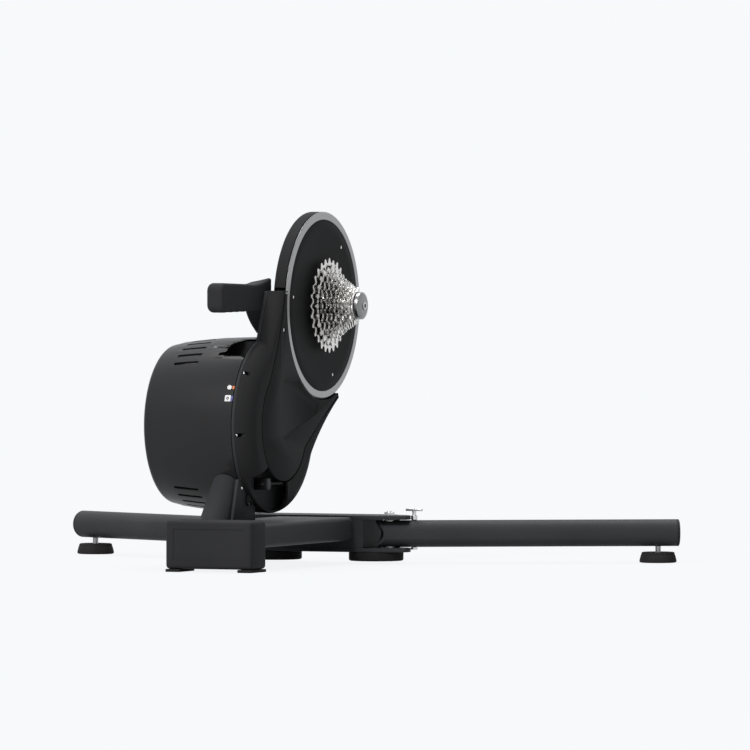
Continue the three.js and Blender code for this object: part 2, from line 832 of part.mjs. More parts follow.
function insetOf(spec, inset, cutRadius) {
  return {
    ...spec,
    radius: spec.radius - inset,
    top: [spec.top[0] + inset, spec.top[1] - inset],
    bow: [spec.bow[0] + inset, spec.bow[1] - inset / 2],
    finBow: [spec.finBow[0] - inset / 2, spec.finBow[1] + inset / 2],
    tipRadius: spec.tipRadius - inset,
    tipAngle: spec.tipAngle - inset / (spec.tipRadius * degree),
    cutRadius,
  };
}

function pointsOf(spec) {
  const shoulder = polar(spindleY, spindleZ, spec.radius, spec.joint);
  const finRoot = polar(spindleY, spindleZ, spec.radius, spec.finStart);
  const tip = polar(axleY, axleZ, spec.tipRadius, spec.tipAngle);
  const endAngle = -fullTurn / 2 - Math.asin((spec.top[1] - axleZ) / spec.cutRadius) / degree;
  return [
    ...bezierPoints(spec.top, spec.bow, shoulder, bowSteps),
    ...drumArc(spec.radius, spec.joint, spec.finStart, rimSteps).slice(1),
    ...bezierPoints(finRoot, spec.finBow, tip, finSteps).slice(1),
    ...arcPoints(axleY, axleZ, spec.cutRadius, spec.tipAngle, endAngle, cutSteps),
  ];
}

function domeRings(inset, cutRadius, depth) {
  const rings = [];
  for (const angle of domeAngles) {
    const share = 1 - Math.cos(angle * degree);
    const spec = insetOf(blendOf(rimOutline, faceOutline, share), inset, cutRadius);
    rings.push({ x: housingLeftX + depth * Math.sin(angle * degree), points: pointsOf(spec) });
  }
  return rings;
}

// The opening low at the rear, where the belt's tensioner is reached, leaves only a lip along the rim
function tensionerOpening() {
  const edge = coverRadius - overrun;
  const shape = shapeOf([
    ...drumArc(edge, openingStartAngle, openingEndAngle, smallSteps),
    ...drumArc(plateRadius + 4 * overrun, openingFrontAngle, openingRearAngle, smallSteps / 4),
  ]);
  return alongX(shape, housingLeftX + openingLip, faceX + overrun);
}

function beltHousing() {
  const depth = faceX - housingLeftX;
  const shell = loft(domeRings(0, discCutRadius, depth));
  const innerCut = discCutRadius - overrun;
  const cavityRings = domeRings(housingWall, innerCut, depth - housingWall);
  const opened = loft([{ x: housingLeftX - overrun, points: cavityRings[0].points }, ...cavityRings]);
  const window = insetOf(coverOutline, -coverSeam, innerCut);
  const windowCut = loft([
    { x: faceX - 2 * housingWall, points: pointsOf(window) },
    { x: faceX + overrun, points: pointsOf(window) },
  ]);
  const lobe = rodX(lobeRadius, housingLeftX, housingLeftX + openingLip).translate(0, ...screwLobe);
  const clear = rodX(plateRadius - housingWall, housingLeftX - overrun, faceX, roundSteps);
  return cut(
    join(cut(shell, opened), cut(lobe, clear.translate(0, spindleY, spindleZ))),
    windowCut,
    tensionerOpening(),
  );
}
add(body, "belt_housing", beltHousing(), moulded);

// Belt cover: the flat plate in the housing's window, with a shallow recess and pegs back to the frame plate
function beltCover() {
  const outer = pointsOf({ ...coverOutline, cutRadius: discCutRadius + seatGap });
  const plate = loft([
    { x: faceX - coverThickness, points: outer },
    { x: faceX, points: outer },
  ]);
  const corners = recessShares.map(([u, v]) => [spindleY + u * coverRadius, spindleZ + v * coverRadius]);
  const recessTip = polar(axleY, axleZ, discCutRadius + recessTipReach, recessTipAngle);
  const arcRadius = discCutRadius + recessClearance;
  const arc = arcPoints(axleY, axleZ, arcRadius, recessStartAngle, recessEndAngle, smallSteps / 2);
  const recess = shapeOf([...corners, recessTip, ...arc]);
  const pegPlaces = [
    ...coverPegAngles.map((angle) => polar(spindleY, spindleZ, coverRadius - coverPegInset, angle)),
    polar(axleY, axleZ, discCutRadius + finPegReach, finPegAngle),
    [armTopY + armPegInset, armTopZ - armPegDrop],
  ];
  const pegs = pegPlaces.map(([y, z]) =>
    rodX(coverPegRadius, housingLeftX, faceX - coverThickness / 2, smallSteps / 2).translate(0, y, z),
  );
  return cut(join(plate, ...pegs), alongX(recess, faceX - recessDepth, faceX + overrun));
}
add(body, "belt_cover", beltCover(), moulded);

// Guard: a dish behind the big pulley, whose rim goes over the top of the belt
const guardRadius = discRadius;
const guardRightX = discFaceX - silverRingThickness - 2 * seatGap;
function beltGuard() {
  const backRightX = housingLeftX + guardBackThickness;
  const dish = turnedX(
    [
      [hubSleeveRadius + guardHubClearance, housingLeftX],
      [guardRadius, housingLeftX],
      [guardRadius, guardRightX],
      [guardRadius - guardThickness, guardRightX],
      [guardRadius - guardThickness, backRightX],
      [hubSleeveRadius + guardHubClearance, backRightX],
    ],
    discSteps,
  );
  const reach = 2 * guardRadius;
  const sector = arcPoints(0, 0, reach, guardEndAngle, guardStartAngle + fullTurn, bowSteps);
  const open = shapeOf([[0, 0], ...sector]);
  return cut(dish, alongX(open, backRightX, guardRightX + overrun));
}
add(body, "belt_guard", beltGuard(), moulded, 0, axleY, axleZ);

// Hub: the big pulley turns on two bearings, and its silver rim flange shows round the black disc
const hub = new THREE.Group();
hub.position.set(0, axleY, axleZ);
body.add(hub);
const flangeRightX = discFaceX;
const flangeLeftX = discFaceX - silverRingThickness;
const discSeatX = discFaceX - discCoverThickness - seatGap;
const beltLeftX = pulleyLeftX + pulleyFlange + seatGap;
const beltRightX = beltLeftX + beltWidth;

function drivePulley() {
  const rimInner = pulleyBeltRadius - pulleyRimThickness;
  const webLeftX = pulleyLeftX + pulleyWebThickness;
  const webRightX = webLeftX + pulleyWebThickness;
  return turnedX(
    [
      [hubBearingOuterRadius + seatGap, hubSleeveLeftX],
      [hubSleeveRadius, hubSleeveLeftX],
      [hubSleeveRadius, webLeftX],
      [rimInner, webLeftX],
      [rimInner, pulleyLeftX],
      [pulleyBeltRadius + pulleyFlangeHeight, pulleyLeftX],
      [pulleyBeltRadius + pulleyFlangeHeight, pulleyLeftX + pulleyFlange],
      [pulleyBeltRadius, pulleyLeftX + pulleyFlange],
      [pulleyBeltRadius, beltRightX + seatGap],
      [pulleyBeltRadius + pulleyFlangeHeight, flangeLeftX],
      [discRadius, flangeLeftX],
      [discRadius, flangeRightX],
      [silverRingInnerRadius, flangeRightX],
      [silverRingInnerRadius, discSeatX],
      [rimInner, discSeatX],
      [rimInner, webRightX],
      [hubSleeveRadius, webRightX],
      [hubSleeveRadius, hubSleeveRightX],
      [hubBearingOuterRadius + seatGap, hubSleeveRightX],
    ],
    discSteps,
  );
}
add(hub, "drive_pulley", drivePulley(), bright);
const discBore = hubSleeveRadius + 2 * seatGap;
const discOuter = silverRingInnerRadius - seatGap;
const discTopX = discSeatX + discCoverThickness;
add(hub, "pulley_cover", sleeveX(discBore, discOuter, discSeatX + seatGap, discTopX, discSteps), moulded);

const freewheel = new THREE.Group();
freewheel.position.set(0, axleY, axleZ);
body.add(freewheel);
const lastSprocketX = cassetteLeftX + (sprocketTeeth.length - 1) * sprocketPitch;
const lockringLeftX = lastSprocketX + sprocketThickness + seatGap;
const freehubRightX = lockringLeftX - seatGap - sprocketThickness;
const freehub = turnedX([
  [axleRadius + seatGap, freehubLeftX],
  [freehubFlangeRadius, freehubLeftX],
  [freehubFlangeRadius, cassetteLeftX - seatGap],
  [freehubRadius, cassetteLeftX - seatGap],
  [freehubRadius, freehubRightX],
  [axleRadius + seatGap, freehubRightX],
]);
add(freewheel, "freehub_body", freehub, machined);

// Cassette: three blocks of sprockets joined by their spacers
function sprocketShape(teeth) {
  const pitchRadius = chainPitch / (2 * Math.sin(Math.PI / teeth));
  const root = pitchRadius - toothDrop;
  const points = [];
  for (let tooth = 0; tooth < teeth; tooth++) {
    for (const [turnShare, heightShare] of toothShares) {
      const radius = root + (toothDrop + toothRise) * heightShare;
      points.push(polar(0, 0, radius, ((tooth + turnShare) * fullTurn) / teeth));
    }
  }
  return shapeOf(points);
}

function sprocketBlock(from, to) {
  const pieces = [];
  const bore = (freehubRadius + seatGap) / Math.cos(Math.PI / splineSteps);
  for (let i = from; i < to; i++) {
    const left = cassetteLeftX + i * sprocketPitch;
    const shape = sprocketShape(sprocketTeeth[i]);
    shape.holes.push(new THREE.Path().absarc(0, 0, bore, 0, 2 * Math.PI, true));
    pieces.push(alongX(shape, left, left + sprocketThickness, splineSteps / 2));
    const last = i === sprocketTeeth.length - 1;
    const outer = i < spacerStepIndex ? spacerRadius : smallSpacerRadius;
    const end = left + sprocketPitch - (i === to - 1 ? seatGap : 0);
    if (!last) pieces.push(sleeveX(bore, outer, left + sprocketThickness / 2, end, splineSteps));
  }
  return join(...pieces);
}
for (const [name, from, to] of cassetteBlocks) {
  add(freewheel, "cassette_" + name, sprocketBlock(from, to), bright);
}
const lockringRightX = lockringLeftX + lockringThickness;
const lockringBore = axleRadius + 3 * seatGap;
const lockring = sleeveX(lockringBore, lockringRadius, lockringLeftX, lockringRightX, smallSteps);
add(freewheel, "lockring", lockring, machined);

// Axle: a hollow rod in the plate's boss, with a dropout face at each end
function axle() {
  const shoulder = lockringRightX + seatGap;
  const end = shoulder + axleCapThickness + axleStub;
  return turnedX([
    [skewerRadius, -end],
    [axleStubRadius, -end],
    [axleStubRadius, -shoulder],
    [axleRadius, -shoulder],
    [axleRadius, shoulder],
    [axleStubRadius, shoulder],
    [axleStubRadius, end],
    [skewerRadius, end],
  ], smallSteps);
}
add(body, "axle", axle(), machined, 0, axleY, axleZ);
const capInnerX = lockringRightX + 2 * seatGap;
const capOuterX = capInnerX + axleCapThickness;
const stubBore = axleStubRadius + seatGap;
const capDomeX = capOuterX + axleCapDome;
const rightCap = turnedX([
  [stubBore, capInnerX],
  [axleCapRadius, capInnerX],
  [axleCapRadius, capOuterX - axleCapEdge],
  [axleCapRadius - axleCapEdge, capOuterX],
  [axleRadius, capDomeX],
  [stubBore, capDomeX],
]);
const leftCap = turnedX([
  [axleRadius + seatGap, plateLeftX - seatGap],
  [axleSpacerRadius, plateLeftX - seatGap],
  [axleSpacerRadius, axleCapRadius - capInnerX],
  [axleCapRadius, axleSpacerRadius - capInnerX],
  [axleCapRadius, axleCapEdge - capOuterX],
  [axleCapRadius - axleCapEdge, -capOuterX],
  [axleRadius, -capDomeX],
  [stubBore, -capDomeX],
  [stubBore, -capInnerX],
  [axleRadius + seatGap, -capInnerX],
]);
add(body, "axle_cap_right", rightCap, bright, 0, axleY, axleZ);
add(body, "axle_cap_left", leftCap, bright, 0, axleY, axleZ);
const hubBearings = [
  ["inner", hubSleeveLeftX + seatGap],
  ["outer", hubSleeveRightX - seatGap - hubBearingWidth],
];
for (const [name, left] of hubBearings) {
  const right = left + hubBearingWidth;
  const bearing = sleeveX(axleRadius + seatGap, hubBearingOuterRadius, left, right, smallSteps);
  add(body, "hub_bearing_" + name, bearing, machined, 0, axleY, axleZ);
}

// Belt: a loop over the big pulley and the small one, drawn about the line between their axes
function beltLoop(grow) {
  const [big, small] = [pulleyBeltRadius + seatGap + grow, smallPulleyRadius + seatGap + grow];
  const [dy, dz] = [axleY - spindleY, axleZ - spindleZ];
  const line = Math.atan2(dz, dy) / degree;
  const lean = 90 + Math.asin((big - small) / Math.hypot(dy, dz)) / degree;
  return [
    ...arcPoints(axleY, axleZ, big, line - lean, line + lean, discSteps),
    ...arcPoints(spindleY, spindleZ, small, line + lean, line + fullTurn - lean, roundSteps / 2),
  ];
}
const beltShape = shapeOf(beltLoop(beltThickness));
beltShape.holes.push(shapeOf(beltLoop(0)));
add(body, "belt", alongX(beltShape, beltLeftX + seatGap, beltRightX - seatGap), rubber);

// Drum cover: the barrel round the flywheel, with vents, a hand recess and a notch for the strut
function drumProfile(inset) {
  const corner = drumCornerRadius;
  const left = drumLeftX + inset;
  const points = [
    [0, left],
    [drumLeftRadius - corner - inset / 2, left],
    [drumLeftRadius - corner / 4 - inset, left + corner * 0.4],
    [drumLeftRadius - inset, left + corner],
  ];
  points.push([drumRightRadius - drumRearDrop - inset, drumRearX]);
  points.push([drumRightRadius - drumMiddleDrop - inset, drumMiddleX]);
  return points;
}

function handRecess(grow) {
  const reach = handRecessReach + grow;
  const height = handRecessHeight + grow;
  const floor = handRecessBottomZ - grow;
  const shape = new THREE.Shape();
  shape.moveTo(floor, plateLeftX + overrun);
  shape.absellipse(handRecessBottomZ, plateLeftX, height, reach, 0, -Math.PI / 2, true);
  shape.lineTo(floor, plateLeftX - reach);
  shape.closePath();
  return alongY(shape, spindleY - plateRadius, handRecessFrontY + grow, smallSteps / 2);
}

// The plane of the drum's own radius at an angle, with +Z outwards
const ontoDrum = (geometry, x, angle) =>
  geometry
    .translate(x, 0, 0)
    .rotateX((angle - 90) * degree)
    .translate(0, spindleY, spindleZ);

function drumCover() {
  const end = plateLeftX - seatGap;
  const solid = turnedX([...drumProfile(0), [drumRightRadius, end], [0, end]], discSteps);
  const hollow = turnedX(
    [...drumProfile(drumWall), [drumRightRadius - drumWall, end + overrun], [0, end + overrun]],
    roundSteps,
  );
  const dish = rodX(drumEndRecessRadius, drumLeftX - overrun, drumLeftX + drumEndRecessDepth, roundSteps);
  const bossRadius = drumEndRecessRadius + drumWall;
  const bossRightX = drumLeftX + drumWall + drumEndRecessDepth;
  const boss = rodX(bossRadius, drumLeftX + drumWall / 2, bossRightX, roundSteps);
  const onAxis = (geometry) => geometry.translate(0, spindleY, spindleZ);
  onAxis(solid);
  const liner = cut(overlapOf(solid, handRecess(drumWall)), handRecess(0));
  const tools = [handRecess(0), onAxis(dish)];
  const ventX = ventLeftX + ventLength / 2;
  const ventHalf = ventWidth / 2;
  for (const centre of [ventTopAngle, ventBottomAngle]) {
    for (let i = 0; i < ventCount; i++) {
      const half = ventLength / 2;
      const slot = roundedRectangle(-half, half, -ventHalf, ventHalf, ventHalf * slotCornerShare);
      const angle = centre + (i - (ventCount - 1) / 2) * ventSpacing;
      tools.push(ontoDrum(upZ(slot, flywheelRadius, plateRadius + overrun, 1), ventX, angle));
    }
  }
  const fit = socketSize / 2 + seatGap;
  const socketHole = block(-fit, fit, -fit, fit, flywheelRadius, plateRadius + overrun);
  const buttonHole = rodZ(buttonRadius + seatGap, flywheelRadius, plateRadius + overrun);
  tools.push(ontoDrum(socketHole, controlsX, socketAngle), ontoDrum(buttonHole, controlsX, buttonAngle));
  const notchEnd = strutLength + strutClearance;
  const notch = rodZ(strutRadius + strutClearance, -2 * strutRadius, notchEnd, roundSteps);
  tools.push(notch.applyMatrix4(strutTurn));
  const shell = join(cut(solid, onAxis(hollow)), liner, onAxis(boss));
  return cut(shell, ...tools);
}
add(body, "drum_cover", drumCover(), moulded);

// Power inlet and status button in the drum's rim
const controlTop = drumRightRadius + controlsProud;
const innerFace = drumRightRadius - drumWall - controlsFlange / 2;
function powerInlet() {
  const half = socketSize / 2;
  const wide = half + controlsFlange;
  return join(
    block(-half, half, -half, half, innerFace - 2 * controlsFlange, controlTop),
    block(-wide, wide, -wide, wide, innerFace - 2 * controlsFlange, innerFace - controlsFlange),
  );
}
const statusButton = turnedZ([
  [0, innerFace - 2 * controlsFlange],
  [buttonRadius + controlsFlange, innerFace - 2 * controlsFlange],
  [buttonRadius + controlsFlange, innerFace - controlsFlange],
  [buttonRadius, innerFace - controlsFlange],
  [buttonRadius, controlTop],
  [0, controlTop],
], smallSteps);
add(body, "power_inlet", ontoDrum(powerInlet(), controlsX, socketAngle), moulded);
add(body, "status_button", ontoDrum(statusButton, controlsX, buttonAngle), moulded);

// Flywheel, its shaft and the small pulley turn together
const spindle = new THREE.Group();
spindle.position.set(0, spindleY, spindleZ);
body.add(spindle);
const flywheelHubRightX = flywheelLeftX + flywheelHubLength;
const flywheel = turnedX([
  [shaftRadius + seatGap, flywheelLeftX],
  [flywheelRadius - flywheelEdge, flywheelLeftX],
  [flywheelRadius, flywheelLeftX + flywheelEdge],
  [flywheelRadius, flywheelRightX - flywheelEdge],
  [flywheelRadius - flywheelEdge, flywheelRightX],
  [flywheelBoreRadius, flywheelRightX],
  [flywheelBoreRadius, flywheelLeftX + flywheelWebThickness],
  [flywheelHubRadius, flywheelLeftX + flywheelWebThickness],
  [flywheelHubRadius, flywheelHubRightX],
  [shaftRadius + seatGap, flywheelHubRightX],
], roundSteps);
add(spindle, "flywheel", flywheel, machined);
const smallPulleyLeftX = beltLeftX - seatGap - smallPulleyFlangeThickness;
const smallPulleyRightX = beltRightX + seatGap + smallPulleyFlangeThickness;
add(spindle, "flywheel_shaft", rodX(shaftRadius, shaftLeftX, smallPulleyRightX + seatGap), bright);
const smallPulley = turnedX([
  [shaftRadius + seatGap, smallPulleyLeftX],
  [smallPulleyRadius + smallPulleyFlange, smallPulleyLeftX],
  [smallPulleyRadius + smallPulleyFlange, beltLeftX - seatGap],
  [smallPulleyRadius, beltLeftX - seatGap],
  [smallPulleyRadius, beltRightX + seatGap],
  [smallPulleyRadius + smallPulleyFlange, beltRightX + seatGap],
  [smallPulleyRadius + smallPulleyFlange, smallPulleyRightX],
  [shaftRadius + seatGap, smallPulleyRightX],
], roundSteps);
add(spindle, "belt_pulley_small", smallPulley, machined);
const shaftBearings = [
  ["left", plateLeftX - shaftBossLength + seatGap],
  ["right", plateRightX - seatGap - shaftBearingWidth],
];
for (const [name, left] of shaftBearings) {
  const right = left + shaftBearingWidth;
  const bearing = sleeveX(shaftRadius + seatGap, shaftBearingOuterRadius, left, right, smallSteps);
  add(body, "shaft_bearing_" + name, bearing, machined, 0, spindleY, spindleZ);
}

// Brake coil inside the flywheel, on three posts from the plate
function brakeCoil() {
  const right = plateLeftX - brakePostLength;
  const posts = brakePostAngles.map((angle) =>
    rodX(brakePostRadius, right - brakeWidth / 2, plateLeftX - seatGap).translate(
      0,
      ...polar(0, 0, (brakeInnerRadius + brakeOuterRadius) / 2, angle),
    ),
  );
  return join(sleeveX(brakeInnerRadius, brakeOuterRadius, right - brakeWidth, right), ...posts);
}
add(body, "brake_coil", brakeCoil(), copper, 0, spindleY, spindleZ);

// Circuit board on four spacers
function circuitBoard() {
  const right = plateLeftX - boardStandoff;
  const [y, z] = [boardLength / 2, boardHeight / 2];
  const spacers = [];
  for (const [sy, sz] of [[-1, -1], [-1, 1], [1, -1], [1, 1]]) {
    const spacer = rodX(boardSpacerRadius, right - boardThickness / 2, plateLeftX - seatGap, smallSteps / 2);
    spacers.push(spacer.translate(0, sy * (y - 2 * boardSpacerRadius), sz * (z - 2 * boardSpacerRadius)));
  }
  return join(block(right - boardThickness, right, -y, y, -z, z), ...spacers);
}
add(body, "circuit_board", circuitBoard(), boardGreen, 0, boardCentreY, boardCentreZ);

// Handle: a moulded grip with finger waves, on a root beside the plate's arm
function handleShape() {
  const bottom = handleTopZ - handleHeight;
  const corner = handleCornerRadius;
  const waves = [];
  for (let i = 0; i <= fingerCount * waveSteps; i++) {
    const dip = (fingerDepth / 2) * (1 - Math.cos((2 * Math.PI * i) / waveSteps));
    waves.push([fingerStartY + (i * fingerLength) / waveSteps, bottom + dip]);
  }
  return shapeOf([
    ...arcPoints(handleRearY + corner, handleTopZ - corner, corner, 90, 180, 4),
    ...arcPoints(handleRearY + corner, bottom + corner, corner, 180, 270, 4),
    ...waves,
    [handleGussetY, bottom - fingerDepth],
    [handleGussetFootY, handleGussetFootZ],
    [handleRootY, handleGussetFootZ],
    [handleRootY, handleRootTopZ],
    [handleRootY - 2 * corner, handleRootTopZ],
    [handleRootY - 3 * corner, handleRootTopZ - fingerDepth * handleGrowth],
    [handleFlareY, handleTopZ - handleDrop],
    [handleFlareY - 2 * corner, handleTopZ - handleDrop],
  ]);
}
function handle() {
  const edge = handleEdgeRadius;
  const bevel = { bevelThickness: edge, bevelSize: edge, bevelOffset: -edge, bevelSegments: 2 };
  const grip = new THREE.ExtrudeGeometry(handleShape(), { depth: handleWidth - 2 * edge, ...bevel });
  return grip.translate(0, 0, plateLeftX - seatGap - handleWidth + edge).applyMatrix4(zToX);
}
add(body, "handle", handle(), moulded);

// Belt tensioner: a long bolt through a block on the plate
const tensionX = (housingLeftX + faceX) / 2;
function tensionBlock() {
  const half = tensionBlockHeight / 2;
  const seat = tensionerRearY + tensionBlockLength;
  const nutFrontY = seat + tensionNutThickness;
  const nut = rodZ(tensionNutRadius, seat - seatGap, nutFrontY, hexSides).rotateX(-Math.PI / 2);
  const bore = rodZ(tensionBoltRadius + seatGap, tensionerRearY - overrun, nutFrontY + overrun);
  const base = block(housingLeftX - tensionX, half, tensionerRearY, seat, -half, half);
  return cut(join(base, nut), bore.rotateX(-Math.PI / 2));
}
const tensionBolt = join(
  rodZ(tensionBoltRadius, tensionerRearY - tensionBoltRadius, tensionerFrontY).rotateX(-Math.PI / 2),
  rodZ(tensionNutRadius, tensionerFrontY - overrun, tensionerFrontY, hexSides).rotateX(-Math.PI / 2),
);
add(body, "tension_bolt", tensionBolt, bright, tensionX, 0, tensionerZ);
add(body, "tension_block", tensionBlock(), machined, tensionX, 0, tensionerZ);

export default trainer;
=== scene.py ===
"""A direct drive bike trainer: the frame comes from the CAD model, and each piece is finished here."""

import json
import math

import bmesh
import bpy
from mathutils import Matrix, Vector
from mathutils.kdtree import KDTree


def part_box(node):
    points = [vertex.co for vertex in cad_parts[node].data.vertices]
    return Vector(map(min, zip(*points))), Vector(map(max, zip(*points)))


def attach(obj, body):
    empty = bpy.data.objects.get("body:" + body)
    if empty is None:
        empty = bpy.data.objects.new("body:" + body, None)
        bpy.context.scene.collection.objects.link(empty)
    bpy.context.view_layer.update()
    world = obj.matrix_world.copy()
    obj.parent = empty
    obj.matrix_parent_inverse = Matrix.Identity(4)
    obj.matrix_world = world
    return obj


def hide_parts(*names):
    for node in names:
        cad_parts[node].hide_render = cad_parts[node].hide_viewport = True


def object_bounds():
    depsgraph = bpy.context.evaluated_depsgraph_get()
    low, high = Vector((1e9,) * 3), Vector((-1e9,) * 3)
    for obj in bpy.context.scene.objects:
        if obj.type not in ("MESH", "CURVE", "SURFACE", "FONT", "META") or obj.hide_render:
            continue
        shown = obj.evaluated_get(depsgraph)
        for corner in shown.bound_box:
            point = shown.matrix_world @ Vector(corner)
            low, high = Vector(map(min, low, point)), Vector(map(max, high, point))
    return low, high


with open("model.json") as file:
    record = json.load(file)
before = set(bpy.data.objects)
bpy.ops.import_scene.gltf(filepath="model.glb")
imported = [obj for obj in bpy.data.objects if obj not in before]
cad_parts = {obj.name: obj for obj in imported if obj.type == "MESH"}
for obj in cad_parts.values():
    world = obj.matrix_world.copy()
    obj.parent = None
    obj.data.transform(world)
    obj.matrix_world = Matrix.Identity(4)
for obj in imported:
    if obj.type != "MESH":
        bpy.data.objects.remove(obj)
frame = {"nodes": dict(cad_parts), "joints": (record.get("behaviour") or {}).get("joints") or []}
cad_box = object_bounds()
rear_y = cad_box[0].y
joint_at = {joint["name"]: Vector(joint["pos_m"]) for joint in frame["joints"] if "pos_m" in joint}
axle_at = joint_at["hub_spin"]
drum_at = joint_at["flywheel_spin"]
SIDES = {"left": -1, "right": 1}

# The set: a camera with a long lens behind and to the right of the trainer, on a pale floor that runs
# on to the horizon.
camera_distance = 20.0
frame_width = 0.9322
sensor = 36.0
look_at = Vector((0.0646, 0.0961, 0.2338))
look_along = Vector((-0.3906, 0.9202, -0.0255)).normalized()
bpy.ops.object.camera_add(location=look_at - camera_distance * look_along)
camera = bpy.context.object
camera.rotation_euler = look_along.to_track_quat("-Z", "Y").to_euler()
camera.data.sensor_width = sensor
camera.data.lens = sensor * camera_distance / frame_width
camera.data.clip_end = 2000.0
bpy.context.scene.camera = camera
bpy.context.scene.view_settings.view_transform = "Standard"


# The floor and the sky are the same pale grey, and the camera and every reflection see that grey as it
# is. A tenth of what they see of the floor is its lit colour, so that it keeps a faint shadow.
class Value:
    """A node's output, whose sums and products become Math nodes of its material."""

    def __init__(self, paint, socket):
        self.paint = paint
        self.socket = socket

    def maths(self, operation, *terms):
        return self.paint.node("ShaderNodeMath", {"operation": operation}, *terms)

    def __add__(self, other):
        return self.maths("ADD", self, other)

    def __sub__(self, other):
        return self.maths("SUBTRACT", self, other)

    def __mul__(self, other):
        return self.maths("MULTIPLY", self, other)

    def __pow__(self, other):
        return self.maths("POWER", self, other)

    def __gt__(self, other):
        return self.maths("GREATER_THAN", self, other)


class Paint:
    """A material whose nodes are added by name, with their settings and their sockets' values."""

    def __init__(self, name, colour, roughness, metallic=0.0, specular=0.5, coat=0.0, coat_roughness=0.03):
        self.material = bpy.data.materials.new(name)
        self.material.use_nodes = True
        self.tree = self.material.node_tree
        self.shader = self.tree.nodes["Principled BSDF"]
        self.feed("Base Color", (*colour, 1.0))
        self.feed("Roughness", roughness)
        self.feed("Metallic", metallic)
        self.feed("Specular IOR Level", specular)
        self.feed("Coat Weight", coat)
        self.feed("Coat Roughness", coat_roughness)

    def node(self, kind, settings, *places, out=0, **sockets):
        node = self.tree.nodes.new(kind)
        for setting, value in settings.items():
            setattr(node, setting, value)
        named = {name.replace("_", " "): value for name, value in sockets.items()}
        for key, value in [*enumerate(places), *named.items()]:
            self.put(node.inputs[key], value)
        return Value(self, node.outputs[out])

    def put(self, socket, value):
        if isinstance(value, Value):
            self.tree.links.new(value.socket, socket)
        else:
            socket.default_value = value

    def feed(self, socket, value):
        self.put(self.shader.inputs[socket], value)

    def place(self):
        return self.node("ShaderNodeTexCoord", {}, out="Object")

    def noise(self, scale, detail=2.0, vector=None):
        vector = vector or self.place()
        return self.node("ShaderNodeTexNoise", {}, Vector=vector, Scale=scale, Detail=detail)

    def shade(self, share, dark, light):
        """Runs the base colour from dark to light as share goes from 0 to 1."""
        mix = self.tree.nodes.new("ShaderNodeMix")
        mix.data_type = "RGBA"
        # Inputs 6 and 7 are the two colours, and output 2 is the mixed one.
        self.put(mix.inputs[0], share)
        self.put(mix.inputs[6], (*dark, 1.0))
        self.put(mix.inputs[7], (*light, 1.0))
        self.feed("Base Color", Value(self, mix.outputs[2]))

    def bump(self, height, strength, distance):
        bump = self.node("ShaderNodeBump", {}, Height=height, Strength=strength, Distance=distance)
        self.feed("Normal", bump)


def wear(piece, paint):
    piece.data.materials.clear()
    piece.data.materials.append(paint.material)


backdrop = (0.913, 0.930, 0.947, 1.0)
floor_reach = 900.0
sky_colour, sky_strength = (0.96, 0.98, 1.0, 1.0), 0.22
glow_share, glow_strength = 0.9, 1.05
bpy.ops.mesh.primitive_plane_add(size=floor_reach)
floor = bpy.context.object
floor.name = "floor"
floor_paint = Paint("pale_floor", (0.42, 0.43, 0.44), 0.9, specular=0.0)
wear(floor, floor_paint)
world = bpy.data.worlds.new("studio")
bpy.context.scene.world = world
world.use_nodes = True


def shown(tree, lit, seen, share):
    """Mixes what lights the object with what the camera and the reflections see."""
    ray = tree.nodes.new("ShaderNodeLightPath")
    sight = ray.outputs["Is Camera Ray"]
    for kind in ("Is Glossy Ray", "Is Transmission Ray"):
        either = tree.nodes.new("ShaderNodeMath")
        either.operation = "MAXIMUM"
        tree.links.new(sight, either.inputs[0])
        tree.links.new(ray.outputs[kind], either.inputs[1])
        sight = either.outputs[0]
    part = tree.nodes.new("ShaderNodeMath")
    part.operation = "MULTIPLY"
    tree.links.new(sight, part.inputs[0])
    part.inputs[1].default_value = share
    chooser = tree.nodes.new("ShaderNodeMixShader")
    tree.links.new(part.outputs[0], chooser.inputs[0])
    tree.links.new(lit.outputs[0], chooser.inputs[1])
    tree.links.new(seen.outputs[0], chooser.inputs[2])
    return chooser.outputs[0]


sky_tree = world.node_tree
sky = sky_tree.nodes["Background"]
sky.inputs["Color"].default_value = sky_colour
sky.inputs["Strength"].default_value = sky_strength
seen_sky = sky_tree.nodes.new("ShaderNodeBackground")
seen_sky.inputs["Color"].default_value = backdrop
sky_tree.links.new(shown(sky_tree, sky, seen_sky, 1.0), sky_tree.nodes["World Output"].inputs["Surface"])
seen_floor = floor_paint.tree.nodes.new("ShaderNodeEmission")
seen_floor.inputs["Color"].default_value = backdrop
seen_floor.inputs["Strength"].default_value = glow_strength
finished = shown(floor_paint.tree, floor_paint.shader, seen_floor, glow_share)
floor_paint.tree.links.new(finished, floor_paint.tree.nodes["Material Output"].inputs["Surface"])

# Two soft lights: a broad one from above, which draws the bright top edges, and a weaker one from behind.
# The right-hand side gets only the sky's light, so that the disc and the housing stay black.
lamps = (("top", (-0.1, 0.3, 1.0), 3.4, 40), ("rear", (-0.2, -1.0, 0.8), 2.2, 20))
for name, toward, power, spread in lamps:
    bpy.ops.object.light_add(type="SUN", location=(0, 0, 3))
    lamp = bpy.context.object
    lamp.name = name + "_light"
    lamp.data.energy = power
    lamp.data.angle = math.radians(spread)
    lamp.rotation_euler = (-Vector(toward)).to_track_quat("-Z", "Y").to_euler()

# The base beam is a flat steel tube with a fine, slightly pebbled powder coat. It is welded to the
# bracket in front and capped by the rear block, so only its two flat sides and its top show.
powder = Paint("black_powder_coat", (0.0423, 0.0433, 0.0454), 0.5, specular=0.03)
pebble = powder.noise(1400.0, 3.0)
patches = powder.noise(9.0, 2.0)
powder.feed("Roughness", patches * 0.14 + pebble * 0.06 + 0.36)
powder.shade(patches, (0.0343, 0.0353, 0.0363), (0.0524, 0.0534, 0.0564))
powder.bump(pebble, 0.25, 0.00012)


